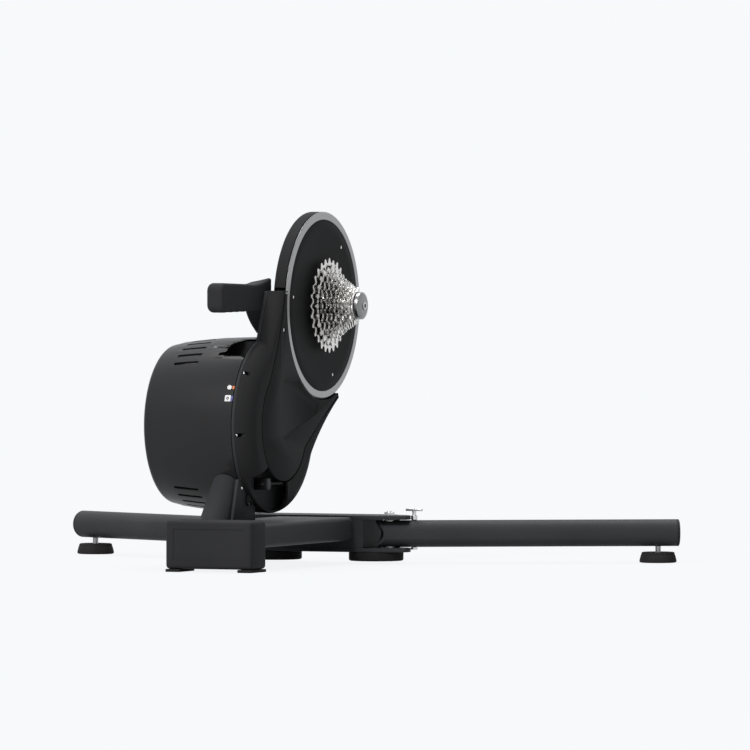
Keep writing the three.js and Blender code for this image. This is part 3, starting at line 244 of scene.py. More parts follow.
def only(piece):
    """Selects one piece and nothing else."""
    bpy.ops.object.select_all(action="DESELECT")
    piece.select_set(True)
    bpy.context.view_layer.objects.active = piece


def smooth(piece, degrees=32.0):
    only(piece)
    bpy.ops.object.shade_smooth_by_angle(angle=math.radians(degrees))


def apply_modifier(piece, kind, **settings):
    """Adds a modifier, sets it and applies it."""
    only(piece)
    bpy.ops.object.modifier_add(type=kind)
    modifier = piece.modifiers[-1]
    for setting, value in settings.items():
        setattr(modifier, setting, value)
    bpy.ops.object.modifier_apply(modifier=modifier.name)


def soften(piece, width, segments=2, degrees=35.0):
    """Rounds every edge that is sharper than the angle, and shades what is left as one surface."""
    apply_modifier(
        piece,
        "BEVEL",
        width=width,
        segments=segments,
        limit_method="ANGLE",
        angle_limit=math.radians(degrees),
        miter_outer="MITER_ARC",
        harden_normals=False,
    )
    smooth(piece)


def settle(piece):
    """Moves the object's place into its mesh."""
    only(piece)
    bpy.ops.object.transform_apply(location=True, rotation=True, scale=True)


def cuboid(name, low, high):
    """A box between two corners."""
    low, high = Vector(low), Vector(high)
    bpy.ops.object.select_all(action="DESELECT")
    bpy.ops.mesh.primitive_cube_add(size=1.0, location=(low + high) / 2)
    piece = bpy.context.object
    piece.name = name
    piece.scale = high - low
    settle(piece)
    return piece


def edit(piece, kind="FACE"):
    """Opens a piece for editing with nothing selected, and gives its mesh."""
    only(piece)
    bpy.ops.object.mode_set(mode="EDIT")
    bpy.ops.mesh.select_mode(type=kind)
    bpy.ops.mesh.select_all(action="DESELECT")
    return bmesh.from_edit_mesh(piece.data)


def close():
    bpy.ops.object.mode_set(mode="OBJECT")


def hand_over(piece, body, paint, *nodes):
    """Paints a finished piece, sets it on its body and hides what it replaces."""
    wear(piece, paint)
    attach(piece, body)
    if nodes:
        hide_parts(*nodes)
    return piece


beam_low, beam_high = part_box("base_beam")
beam_wall = 0.003
beam_corner = 0.005
beam_bore = 0.06
beam = cuboid("beam", beam_low, beam_high)
shape = edit(beam)
for face in shape.faces:
    face.select = abs(face.normal.y) > 0.9
bpy.ops.mesh.inset(thickness=beam_wall)
bpy.ops.mesh.extrude_region_move(TRANSFORM_OT_translate={"value": (0, 0, 0)})
for face in shape.faces:
    if face.select:
        inward = -beam_bore if face.normal.y > 0 else beam_bore
        for vertex in face.verts:
            vertex.co.y += inward
close()
shape = edit(beam, "EDGE")
for edge in shape.edges:
    a, b = (vertex.co for vertex in edge.verts)
    long_side = abs(a.y - b.y) > 0.1
    outer = abs(abs(a.x) - beam_high.x) < 1e-5
    edge.select = long_side and outer
bpy.ops.mesh.bevel(offset=beam_corner, segments=5)
close()
smooth(beam)
hand_over(beam, "base", powder, "base_beam")

# The rear block is a thick moulded cap over the beam's rear end, matt black, with every edge rounded.
# A shallow step runs round its rear face, and it stands on two rubber strips.
moulded = Paint("black_moulding", (0.0325, 0.0325, 0.0341), 0.55, specular=0.015)
grain = moulded.noise(2600.0, 2.0)
cloud = moulded.noise(14.0, 2.0)
moulded.feed("Roughness", cloud * 0.12 + grain * 0.08 + 0.38)
moulded.shade(cloud, (0.026, 0.026, 0.0276), (0.039, 0.039, 0.0414))
moulded.bump(grain, 0.3, 0.0001)
block_low, block_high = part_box("rear_block")
block_edge = 0.0045
block_step = 0.006
block_step_depth = 0.0007
socket_depth = 0.037
block = cuboid("rear_block_cap", block_low, block_high)
shape = edit(block, "EDGE")
for edge in shape.edges:
    edge.select = True
bpy.ops.mesh.bevel(offset=block_edge, segments=5)
close()
shape = edit(block)
for face in shape.faces:
    face.select = face.normal.y < -0.99
bpy.ops.mesh.inset(thickness=block_step)
bpy.ops.mesh.extrude_region_move(TRANSFORM_OT_translate={"value": (0, block_step_depth, 0)})
close()
fit = 0.0003
overrun = 0.004
socket = cuboid(
    "socket",
    (beam_low.x - fit, block_high.y - socket_depth, beam_low.z - fit),
    (beam_high.x + fit, block_high.y + overrun, beam_high.z + fit),
)


def carve(piece, tool, operation="DIFFERENCE"):
    """Cuts one piece with another, and throws the cutter away."""
    apply_modifier(piece, "BOOLEAN", object=tool, operation=operation, solver="EXACT")
    bpy.data.objects.remove(tool)


carve(block, socket)
smooth(block)
hand_over(block, "base", moulded, "rear_block")

# The rubber under the trainer is soft and dull, with a slightly dusty look. The rear block has two
# plain strips of it, glued on at the left and right.
rubber = Paint("black_rubber", (0.0234, 0.0234, 0.0234), 0.8, specular=0.05)
dust = rubber.noise(60.0, 4.0)
rubber.feed("Roughness", dust * 0.2 + 0.68)
rubber.shade(dust, (0.0169, 0.0169, 0.0175), (0.0312, 0.0306, 0.0299))
rubber.bump(rubber.noise(900.0, 2.0), 0.3, 0.0001)
for side in SIDES:
    low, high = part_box("rear_pad_" + side)
    strip = cuboid("rear_strip_" + side, low, high)
    soften(strip, 0.0009, 2)
    hand_over(strip, "base", rubber, "rear_pad_" + side)

# The front bracket is folded and welded from 5 mm plate: a top and a bottom plate with an ear for
# each leg, a box between them, and a stop for each leg. Its laser-cut edges are just broken.
plate = 0.005
bracket_low, bracket_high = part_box("front_bracket")
bracket_rear = bracket_low.y
bracket_front = bracket_high.y
pivot_at = {side: joint_at["leg_fold_" + side] for side in SIDES}
leg_turn = math.radians(29)
ear_half = 0.020
ear_end = 0.0264
shoulder_x = 0.080
box_half = 0.064
leg_radius = 0.01675
bolt_hole = 0.0043


def face_outwards():
    """Turns all faces of the open mesh outwards and closes it."""
    bpy.ops.mesh.select_all(action="SELECT")
    bpy.ops.mesh.normals_make_consistent(inside=False)
    close()


def slab(name, outline, low, high, to_place=Matrix.Identity(4)):
    """A plate with the given outline: a filled circle, whose corners go to the outline, is made thick."""
    bpy.ops.object.select_all(action="DESELECT")
    bpy.ops.mesh.primitive_circle_add(vertices=len(outline), fill_type="NGON")
    piece = bpy.context.object
    piece.name = name
    for vertex, (u, v) in zip(piece.data.vertices, outline):
        vertex.co = (u, v, low)
    shape = edit(piece)
    for face in shape.faces:
        face.select = True
    bpy.ops.mesh.extrude_region_move(TRANSFORM_OT_translate={"value": (0, 0, high - low)})
    face_outwards()
    piece.matrix_world = to_place
    settle(piece)
    return piece


def arc(centre, radius, start, end, steps):
    """Points on an arc, with its angles in degrees."""
    angles = [math.radians(start + (end - start) * step / steps) for step in range(steps + 1)]
    return [(centre[0] + radius * math.cos(a), centre[1] + radius * math.sin(a)) for a in angles]


def leg_bearing(side):
    """The direction of a leg, as an angle from +X."""
    return leg_turn if side == "right" else math.pi - leg_turn


def ear_outline():
    """The plate's outline: an ear with a round end on each side, and straight edges between them."""
    pivot = pivot_at["right"]
    lean = math.degrees(leg_turn)
    spread = math.degrees(math.asin(ear_half / ear_end))
    along, across = (math.cos(leg_turn), math.sin(leg_turn)), (math.sin(leg_turn), -math.cos(leg_turn))
    reach = (bracket_rear - pivot.y + ear_half * along[0]) / along[1]
    corner = (pivot.x + reach * along[0] + ear_half * across[0], bracket_rear)
    end = arc((pivot.x, pivot.y), ear_end, lean - spread, lean + spread, 16)
    half = [corner, *end, (shoulder_x, bracket_front)]
    return half + [(-x, y) for x, y in reversed(half)]


def joined(name, *pieces):
    """Joins pieces into one object."""
    only(pieces[0])
    for piece in pieces[1:]:
        piece.select_set(True)
    bpy.ops.object.join()
    bpy.context.object.name = name
    return bpy.context.object


def cylinder(name, centre, radius, low, high, sides=48):
    """An upright cylinder between two heights."""
    bpy.ops.object.select_all(action="DESELECT")
    place = (centre[0], centre[1], (low + high) / 2)
    bpy.ops.mesh.primitive_cylinder_add(vertices=sides, radius=radius, depth=high - low, location=place)
    piece = bpy.context.object
    piece.name = name
    settle(piece)
    return piece


bracket_plates = []
for low, high in ((bracket_low.z, bracket_low.z + plate), (bracket_high.z - plate, bracket_high.z)):
    flat = slab("bracket_plate", ear_outline(), low, high)
    for side in SIDES:
        hole = cylinder("hole", pivot_at[side], bolt_hole, low - overrun, high + overrun)
        carve(flat, hole)
    soften(flat, 0.0006, 2)
    bracket_plates.append(flat)
wall_low, wall_high = bracket_low.z + plate, bracket_high.z - plate
wall_rear = bracket_rear + plate
walls = [cuboid("rear_wall", (-box_half, bracket_rear, wall_low), (box_half, wall_rear, wall_high))]
for side, sign in SIDES.items():
    near, far = sorted((sign * box_half, sign * (box_half - plate)))
    walls.append(cuboid("side_wall", (near, wall_rear, wall_low), (far, bracket_front, wall_high)))
    pivot = pivot_at[side]
    stop_near, stop_far = leg_radius + fit, leg_radius + fit + plate
    stop = cuboid("stop", (plate, stop_near, wall_low), (ear_half - plate, stop_far, wall_high))
    if side == "left":
        stop.data.transform(Matrix.Scale(-1, 4, (0, 1, 0)))
        edit(stop)
        face_outwards()
    stop.matrix_world = Matrix.Translation((pivot.x, pivot.y, 0)) @ Matrix.Rotation(leg_bearing(side), 4, "Z")
    settle(stop)
    walls.append(stop)
for wall in walls:
    soften(wall, 0.0004, 1)
bracket = joined("bracket", *bracket_plates, *walls)
hand_over(bracket, "base", powder, "front_bracket")


# Round rubber pads are screwed under the bracket, with a small radius round the bottom edge. The
# pivot bolts' heads sit in pockets in them.
def turn(name, profile, to_place, steps=96):
    """A turned piece: a circle is drawn out along +Z and widened or narrowed at each step."""
    bpy.ops.object.select_all(action="DESELECT")
    radius, height = profile[0]
    radius = max(radius, 1e-5)
    bpy.ops.mesh.primitive_circle_add(vertices=steps, radius=radius, location=(0, 0, height))
    piece = bpy.context.object
    piece.name = name
    settle(piece)
    bpy.ops.object.mode_set(mode="EDIT")
    bpy.ops.mesh.select_mode(type="EDGE")
    bpy.ops.mesh.select_all(action="SELECT")
    for next_radius, next_height in profile[1:]:
        rise = {"value": (0, 0, next_height - height)}
        bpy.ops.mesh.extrude_region_move(TRANSFORM_OT_translate=rise)
        share = max(next_radius, 1e-5) / radius
        bpy.ops.transform.resize(value=(share, share, 1), center_override=(0, 0, next_height))
        radius, height = max(next_radius, 1e-5), next_height
    bpy.ops.mesh.select_all(action="SELECT")
    bpy.ops.mesh.remove_doubles(threshold=0.00003)
    face_outwards()
    piece.matrix_world = to_place
    settle(piece)
    return piece


def upright(centre, height=0.0):
    return Matrix.Translation((centre[0], centre[1], height))


puck_round, puck_bulge, puck_edge = 0.0022, 0.0006, 0.0008
head_pocket, head_pocket_depth = 0.0068, 0.0043
for side in SIDES:
    low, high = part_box("bracket_pad_" + side)
    centre, radius = (low + high) / 2, (high.x - low.x) / 2
    profile = [(0, low.z), (radius - puck_round, low.z), (radius - puck_bulge, low.z + puck_bulge)]
    profile += [(radius, low.z + puck_round), (radius, high.z - puck_edge)]
    profile += [(radius - puck_edge, high.z), (0, high.z)]
    puck = turn("bracket_puck_" + side, profile, upright(centre))
    pocket = cylinder("pocket", pivot_at[side], head_pocket, high.z - head_pocket_depth, high.z + overrun)
    carve(puck, pocket)
    smooth(puck)
    hand_over(puck, "base", rubber, "bracket_pad_" + side)

# A leg turns on an M8 bolt with a thick white nylon sleeve, held by a nut on top of the ear. Bolts and
# nuts are zinc plated, with the corners of their hexagons turned off.
zinc = Paint("zinc_steel", (0.6, 0.6, 0.61), 0.28, metallic=1.0)
spangle = zinc.noise(180.0, 4.0)
zinc.feed("Roughness", spangle * 0.22 + 0.17)
zinc.shade(spangle, (0.50, 0.51, 0.52), (0.70, 0.70, 0.70))
zinc.bump(zinc.noise(1200.0, 2.0), 0.15, 0.00005)
nylon = Paint("white_nylon", (0.72, 0.72, 0.70), 0.45)
mottle = nylon.noise(220.0, 2.0)
nylon.feed("Roughness", mottle * 0.15 + 0.38)
nylon.shade(mottle, (0.66, 0.66, 0.63), (0.76, 0.76, 0.74))
bolt_radius = 0.004
head_radius = 0.0065
corner_loss = 0.0009
face_share, beyond_share = 0.88, 1.05
skim = 0.00002
metric_pitch, metric_depth = 0.00125, 0.0005
edge_break = 0.0004


def hexagon(name, centre, radius, low, high):
    """A hexagon whose upper corners are turned off, as on a nut or a bolt's head."""
    piece = cylinder(name, centre, radius, low, high, 6)
    wide = radius * beyond_share
    lathe = [(0, low - corner_loss), (wide, low - corner_loss), (wide, high - corner_loss)]
    lathe += [(radius * face_share, high + skim), (0, high + skim)]
    carve(piece, turn("lathe", lathe, upright(centre), 48), "INTERSECT")
    return piece


def thread(radius, low, high, pitch, depth):
    """The outline of a screw thread between two heights, as rings one pitch apart."""
    count = int((high - low) / pitch)
    points = []
    for ring in range(count):
        points += [(radius - depth, low + ring * pitch), (radius, low + (ring + 0.5) * pitch)]
    return points + [(radius - depth, low + count * pitch)]


def bush(bore, radius, low, high, chamfer):
    """The section of a plain ring with both outer edges broken."""
    outside = [(radius - chamfer, low), (radius, low + chamfer)]
    outside += [(radius, high - chamfer), (radius - chamfer, high)]
    return [(bore, low), *outside, (bore, high), (bore, low)]


for side in SIDES:
    centre = pivot_at[side]
    bolt_low, bolt_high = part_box("pivot_bolt_" + side)
    nut_low, nut_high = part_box("pivot_nut_" + side)
    head = hexagon("pivot_head", centre, head_radius, bolt_low.z, bracket_low.z - fit)
    shank = [(0, bolt_low.z + 0.002), (bolt_radius, bolt_low.z + 0.002)]
    shank += thread(bolt_radius, nut_low.z - 0.004, bolt_high.z - 0.0008, metric_pitch, metric_depth)
    shank += [(bolt_radius - 0.0009, bolt_high.z), (0, bolt_high.z)]
    bolt = joined("pivot_bolt", head, turn("shank", shank, upright(centre), 32))
    smooth(bolt)
    bolt.name = "leg_bolt_" + side
    hand_over(bolt, "base", zinc, "pivot_bolt_" + side)
    nut = hexagon("leg_nut_" + side, centre, head_radius, nut_low.z, nut_high.z)
    carve(nut, cylinder("bore", centre, bolt_radius + fit / 2, nut_low.z - overrun, nut_high.z + overrun))
    smooth(nut)
    hand_over(nut, "base", zinc, "pivot_nut_" + side)
    sleeve_low, sleeve_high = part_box("pivot_sleeve_" + side)
    sleeve_radius = (sleeve_high.x - sleeve_low.x) / 2
    profile = bush(bolt_radius + fit, sleeve_radius, sleeve_low.z, sleeve_high.z, edge_break)
    sleeve = turn("leg_sleeve_" + side, profile, upright(centre), 48)
    smooth(sleeve)
    hand_over(sleeve, "leg_" + side, nylon, "pivot_sleeve_" + side)

# The legs are round steel tubes, 33.5 mm across and powder coated, with the inner end cut round so
# that it clears the stop. Each one folds back beside the beam, and is drilled for bolt, knob and foot.
leg_height = 0.0372
leg_wall = 0.002
leg_inner = 0.0172
leg_outer = 0.3625
cap_lip = 0.003
knob_reach = 0.0309
foot_reach = 0.336
sleeve_hole, knob_hole, foot_hole = 0.0067, 0.0028, 0.004
above_leg = 0.08
along_x = Matrix.Rotation(math.pi / 2, 4, "Y")


def leg_frame(side):
    """The place of a leg whose own +X runs out along the leg."""
    pivot = pivot_at[side]
    return Matrix.Translation((pivot.x, pivot.y, leg_height)) @ Matrix.Rotation(leg_bearing(side), 4, "Z")


def on_leg(side, reach):
    """A point on a leg's middle line, at a distance from its pivot."""
    return leg_frame(side) @ Vector((reach, 0, 0))


for side in SIDES:
    place = leg_frame(side)
    start, end = -leg_inner - 0.004, leg_outer - cap_lip - fit
    inner = leg_radius - leg_wall
    profile = [(inner, start), (leg_radius, start), (leg_radius, end - edge_break)]
    profile += [(leg_radius - edge_break, end), (inner, end), (inner, start)]
    tube = turn("leg_tube_" + side, profile, place @ along_x, 96)
    reach = 2 * leg_radius
    behind = cuboid("behind", (start - overrun, -reach, -reach), (0, reach, reach))
    carve(behind, cylinder("round", (0, 0), leg_inner, -reach - overrun, reach + overrun, 96))
    behind.matrix_world = place
    settle(behind)
    carve(tube, behind)
    carve(tube, cylinder("pivot_hole", on_leg(side, 0), sleeve_hole, 0, above_leg))
    carve(tube, cylinder("knob_hole", on_leg(side, knob_reach), knob_hole, 0, above_leg))
    carve(tube, cylinder("foot_hole", on_leg(side, foot_reach), foot_hole, 0, leg_height))
    smooth(tube)
    hand_over(tube, "leg_" + side, powder, "leg_" + side)

# Each leg ends in a pressed-in plastic plug with a shallow crowned face and a rounded rim.
spigot_length, spigot_edge = 0.012, 0.001
rim_fall = [(0, 0.0012), (0.0004, 0.0007), (0.0012, 0.0003), (0.0035, 0.0001)]
flat_share = 0.4
for side in SIDES:
    seat = leg_outer - cap_lip
    spigot, spigot_end = leg_radius - leg_wall - fit, seat - spigot_length
    profile = [(0, spigot_end), (spigot - spigot_edge, spigot_end), (spigot, spigot_end + spigot_edge)]
    profile += [(spigot, seat), (leg_radius, seat)]
    profile += [(leg_radius - inset, leg_outer - fall) for inset, fall in rim_fall]
    profile += [(leg_radius * flat_share, leg_outer), (0, leg_outer)]
    plug = turn("leg_plug_" + side, profile, leg_frame(side) @ along_x, 96)
    smooth(plug)
    hand_over(plug, "leg_" + side, moulded, "leg_cap_" + side)

# The lock knobs are cast wing screws, plated bright: a collar that comes down at the rounded end of
# the ear, a waisted stem and a rounded bar for the fingers. A small round nut holds each from below.
bar_half = 0.0115
bar_width = 0.0054
bar_height = 0.0032
knob_radius, collar_radius = 0.0025, 0.004
for side in SIDES:
    centre = on_leg(side, knob_reach)
    low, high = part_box("lock_knob_" + side)
    seat = leg_height + leg_radius + fit
    bar_low, stem_top = high.z - bar_height, high.z - 0.001
    profile = [(0, low.z), (knob_radius - edge_break, low.z), (knob_radius, low.z + edge_break)]
    profile += thread(knob_radius, low.z + edge_break, seat - 0.0012, 0.0008, 0.0003)
    profile += [(knob_radius, seat), (collar_radius - edge_break, seat), (collar_radius, seat + edge_break)]
    profile += [(collar_radius, seat + 0.0050), (collar_radius - edge_break, seat + 0.0055)]
    profile += [(0.0027, seat + 0.0059), (knob_radius, seat + 0.0075), (knob_radius, bar_low - 0.0014)]
    profile += [(0.0027, bar_low - edge_break), (0.0027, stem_top), (0, stem_top)]
    screw = turn("knob_screw", profile, upright(centre), 40)
    half = bar_width / 2
    ends = arc((bar_half - half, 0), half, -90, 90, 12) + arc((half - bar_half, 0), half, 90, 270, 12)
    bar = slab("knob_bar", ends, bar_low, high.z, upright(centre))
    soften(bar, 0.0009, 3)
    smooth(screw)
    knob = joined("wing_knob_" + side, screw, bar)
    hand_over(knob, "knob_" + side, zinc, "lock_knob_" + side)
    nut_low, nut_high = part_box("lock_nut_" + side)
    radius = (nut_high.x - nut_low.x) / 2
    profile = [(knob_hole, nut_low.z), (radius - 0.0005, nut_low.z), (radius, nut_low.z + 0.0005)]
    profile += [(radius, nut_high.z), (knob_hole, nut_high.z), (knob_hole, nut_low.z)]
    ring = turn("wing_nut_" + side, profile, upright(centre), 40)
    smooth(ring)
    hand_over(ring, "leg_" + side, zinc, "lock_nut_" + side)

# Under each leg's end stands a rubber foot, moulded on a threaded stud that screws into the tube to
# level the trainer. The rubber is a low cone with a ring round its top and a rounded sole.
sole_radius, stud_radius = 0.0232, 0.0037
for side in SIDES:
    centre = on_leg(side, foot_reach)
    low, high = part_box("levelling_foot_" + side)
    radius, top = sole_radius, high.z
    profile = [(0, 0.0), (radius - 0.0025, 0.0), (radius - 0.0008, 0.0004), (radius, 0.0014)]
    profile += [(radius - 0.0002, 0.0034), (0.0215, top - 0.0040), (0.0209, top - 0.0034)]
    profile += [(0.0207, top - 0.0012), (0.0199, top - 0.0003), (0.0188, top), (0.0062, top)]
    profile += [(0.0058, top - 0.0006), (0.0040, top - 0.0006), (0.0040, 0.003), (0, 0.003)]
    sole = turn("foot_rubber_" + side, profile, upright(centre), 96)
    smooth(sole)
    hand_over(sole, "foot_" + side, rubber, "levelling_foot_" + side)
    low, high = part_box("levelling_stud_" + side)
    profile = [(0, low.z), (stud_radius, low.z), (stud_radius, top - 0.001)]
    profile += thread(stud_radius, top - 0.001, high.z - 0.001, metric_pitch, 0.0006)
    profile += [(stud_radius - 0.0009, high.z), (0, high.z)]
    stud = turn("foot_stud_" + side, profile, upright(centre), 40)
    smooth(stud)
    hand_over(stud, "foot_" + side, zinc, "levelling_stud_" + side)

# The frame plate is cut from 4 mm steel: the round flange that the drum is screwed to, an arm up to the
# rear axle and a foot that is welded to the beam. A turned boss behind it holds the flywheel's shaft.
plate_left, plate_right = -0.0065, -0.0025
plate_radius = 0.109
flange_radius = plate_radius - 0.0014
rim_start, rim_end = 107, 345
foot_rear, foot_rear_low, foot_front = rear_y + 0.099, rear_y + 0.081, rear_y + 0.151
beam_top = 0.058
arm_top = (rear_y + 0.188, 0.341)
axle_boss = 0.027
foot_share = 0.6
plate_edge = 0.0005
shaft_bore, axle_bore = 0.0163, 0.0083
boss_left, boss_radius, boss_foot = -0.0305, 0.0210, 0.0225
drum_yz = (drum_at.y, drum_at.z)
axle_yz = (axle_at.y, axle_at.z)
along_plus_x = Matrix(((0, 0, 1, 0), (1, 0, 0, 0), (0, 1, 0, 0), (0, 0, 0, 1)))


def at(centre_yz, x=0.0):
    """The place whose +Z runs along the object's +X, through a point given by its Y and Z."""
    return Matrix.Translation((x, *centre_yz)) @ along_plus_x


def polar(centre, radius, angle):
    """The point at a distance and an angle from a centre."""
    return arc(centre, radius, angle, angle, 1)[0]


def rod(name, centre_yz, radius, low, high, sides=64):
    """A cylinder along X."""
    piece = cylinder(name, (0, 0), radius, low, high, sides)
    piece.matrix_world = at(centre_yz)
    settle(piece)
    return piece


foot_top = drum_at.z - foot_share * flange_radius
rear_angle = 180 + math.degrees(math.asin(foot_share))
front_angle = 180 + math.degrees(math.acos((drum_at.y - foot_front) / flange_radius))
outline = arc(drum_yz, flange_radius, rim_start, rear_angle, 80)
outline += [(foot_rear, foot_top), (foot_rear_low, beam_top + fit), (foot_front, beam_top + fit)]
outline += arc(drum_yz, flange_radius, front_angle, 365, 80)
outline += arc(axle_yz, axle_boss, -30, 110, 40) + [(arm_top[0] + axle_boss, arm_top[1]), arm_top]
flange = slab("flange", outline, plate_left, plate_right, along_plus_x)
for centre, bore in ((drum_yz, shaft_bore), (axle_yz, axle_bore)):
    carve(flange, rod("bore", centre, bore, plate_left - overrun, plate_right + overrun))
soften(flange, plate_edge, 2)
profile = [(shaft_bore, boss_left), (boss_radius - 0.001, boss_left), (boss_radius, boss_left + 0.001)]
profile += [(boss_radius, plate_left - 0.002), (boss_foot, plate_left - plate_edge), (boss_foot, plate_left)]
profile += [(shaft_bore, plate_left), (shaft_bore, boss_left)]
boss = turn("shaft_boss", profile, at(drum_yz))
smooth(boss)
flange = joined("plate", flange, boss)
hand_over(flange, "base", powder, "frame_plate")

# The strut is a round tube that leans forwards from the beam into a notch in the drum. It is welded on
# with a rippled bead all round its foot, and painted with the frame.
strut_radius = 0.018
strut_wall = 0.0025
strut_lean = math.radians(41)
strut_length = 0.084
strut_foot = Vector((plate_left - fit - strut_radius, rear_y + 0.075, beam_top))
strut_buried = 0.036
bead_width = 0.0022
ripple_count, ripple_height = 56, 0.00012
strut_place = Matrix.Translation(strut_foot) @ Matrix.Rotation(-strut_lean, 4, "X")
inner = strut_radius - strut_wall
profile = [(inner, -strut_buried), (strut_radius, -strut_buried), (strut_radius, strut_length - 0.001)]
profile += [(strut_radius - 0.001, strut_length), (inner, strut_length), (inner, -strut_buried)]
strut = turn("leaning_strut", profile, strut_place, 96)
reach = 3 * strut_radius
above_beam = strut_foot + Vector((0, 0, fit))
below = cuboid("below", strut_foot - Vector((reach, reach, reach)), above_beam + Vector((reach, reach, 0)))
carve(strut, below)
smooth(strut)
bpy.ops.object.select_all(action="DESELECT")
bpy.ops.mesh.primitive_torus_add(
    major_segments=220, minor_segments=12, major_radius=strut_radius, minor_radius=bead_width / 2
)
bead = bpy.context.object
bead.location = above_beam + Vector((0, 0, fit))
bead.scale = (1.0, 1 / math.cos(strut_lean), 0.9)
settle(bead)
for vertex in bead.data.vertices:
    side = vertex.co - strut_foot
    angle = math.atan2(side.y, side.x)
    ripple = ripple_height * math.sin(ripple_count * angle)
    vertex.co += Vector((side.x, side.y, 0)).normalized() * ripple
edit(bead)
bpy.ops.mesh.select_all(action="SELECT")
bpy.ops.mesh.bisect(plane_co=above_beam, plane_no=(0, 0, 1), clear_inner=True, use_fill=True)
close()
smooth(bead, 50)
strut = joined("leaning_strut", strut, bead)
hand_over(strut, "base", powder, "strut")

# The drum is moulded in one piece round the flywheel, 217 mm across at the plate and drawn in towards
# the left, with a satin, very finely grained skin. It has eleven vents above and eleven below.
drum_left = -0.1302
drum_end = plate_left - fit
drum_wall = 0.0028
drum_right_radius = 0.1086
drum_corner = 0.007
drum_draw = 0.010
drum_shoulder = -0.012
dish_radius = 0.078
dish_depth = 0.002
scoop_width, scoop_height = 0.037, 0.021
scoop_floor = 0.262
scoop_rear, scoop_front = rear_y + 0.080, rear_y + 0.170
shell_colour = (0.0225, 0.0225, 0.0233)
shell_paint = Paint("satin_drum", shell_colour, 0.42, specular=0.06, coat=0.2, coat_roughness=0.12)
fine = shell_paint.noise(3200.0, 2.0)
broad = shell_paint.noise(7.0, 2.0)
shell_paint.feed("Roughness", broad * 0.10 + fine * 0.05 + 0.3)
shell_paint.shade(broad, (0.0180, 0.0180, 0.0188), (0.0247, 0.0247, 0.0258))
shell_paint.bump(fine, 0.2, 0.00006)


def drum_outline(inset):
    """Half the drum's section, from the middle of its left end to its right edge."""
    radius = drum_right_radius - drum_draw - inset
    left = drum_left + inset
    points = [(0, left), (radius - drum_corner, left)]
    for angle in range(10, 91, 10):
        lift, out = 1 - math.cos(math.radians(angle)), math.sin(math.radians(angle))
        points.append((radius - drum_corner * (1 - out), left + drum_corner * lift))
    stations = [(-0.112, 0.1014), (-0.0965, 0.1035), (-0.078, 0.1055), (-0.060, 0.107), (-0.035, 0.108)]
    points += [(station_radius - inset, x) for x, station_radius in stations]
    return points + [(drum_right_radius - inset, drum_shoulder)]


def drum_body(name, inset, end):
    """The drum as a solid, moved in by the inset and cut off at its right end."""
    profile = drum_outline(inset) + [(drum_right_radius - inset, end), (0, end)]
    return turn(name, profile, at(drum_yz), 180)


def hand_recess(name, grow):
    """The scoop for a hand beside the plate, as a quarter of an oval run forwards."""
    width, height = scoop_width + grow, scoop_height + grow
    turns = [math.radians(angle) for angle in range(0, 91, 3)]
    oval = [(plate_left - width * math.cos(a), scoop_floor + height * math.sin(a)) for a in turns]
    right, bottom = plate_left + overrun, scoop_floor - grow
    outline = oval + [(right, scoop_floor + height), (right, bottom), (plate_left - width, bottom)]
    along_y = Matrix(((1, 0, 0, 0), (0, 0, -1, 0), (0, 1, 0, 0), (0, 0, 0, 1)))
    return slab(name, outline, -(scoop_front + grow), -scoop_rear, along_y)


def copy_of(piece, name):
    only(piece)
    bpy.ops.object.duplicate(linked=False)
    bpy.context.object.name = name
    return bpy.context.object


drum = drum_body("drum", 0, drum_end)
liner = copy_of(drum, "liner")
carve(liner, hand_recess("scoop", drum_wall), "INTERSECT")
carve(drum, drum_body("hollow", drum_wall, drum_end + overrun))
end_left, end_right = drum_left + 0.0015, drum_left + dish_depth + drum_wall
carve(drum, rod("boss", drum_yz, dish_radius + drum_wall, end_left, end_right, 96), "UNION")
carve(drum, liner, "UNION")
carve(drum, hand_recess("scoop", 0))
dish_flare, dish_edge = 0.003, 0.0008
dish_floor = drum_left + dish_depth
dish = [(0, drum_left - overrun), (dish_radius + dish_flare, drum_left - overrun)]
dish += [(dish_radius + dish_edge, drum_left), (dish_radius, drum_left + dish_edge)]
dish += [(dish_radius - 0.001, dish_floor), (0, dish_floor)]
carve(drum, turn("dish", dish, at(drum_yz), 120))


def on_rim(angle, x):
    """The place on the drum's rim at an angle, with +X along the drum and +Z outwards."""
    turned = Matrix.Rotation(math.radians(angle - 90), 4, "X")
    return Matrix.Translation((x, *drum_yz)) @ turned


vent_half, vent_end = 0.017, 0.0023
vent_x, vent_step = -0.083, 8.5
inside_rim, outside_rim = 0.085, 0.115
round_ends = arc((vent_half - vent_end, 0), vent_end, -90, 90, 8)
round_ends += arc((vent_end - vent_half, 0), vent_end, 90, 270, 8)
for middle in (90, 270):
    for step in range(-5, 6):
        place = on_rim(middle + vent_step * step, vent_x)
        carve(drum, slab("vent", round_ends, inside_rim, outside_rim, place))
button_angle, inlet_angle = 153.5, 161.1
controls_x = -0.013
button_radius, inlet_half = 0.003, 0.004
button_hole = cylinder("button_hole", (0, 0), button_radius + fit, inside_rim, outside_rim, 40)
square = inlet_half + fit
inlet_hole = cuboid("inlet_hole", (-square, -square, inside_rim), (square, square, outside_rim))
notch_gap = 0.0016
notch = cylinder("notch", (0, 0), strut_radius + notch_gap, -strut_buried, strut_length + notch_gap, 72)
for hole, place in (
    (button_hole, on_rim(button_angle, controls_x)),
    (inlet_hole, on_rim(inlet_angle, controls_x)),
    (notch, strut_place),
):
    hole.matrix_world = place
    settle(hole)
    carve(drum, hole)
soften(drum, 0.0005, 2, 40)
hand_over(drum, "base", shell_paint, "drum_cover")

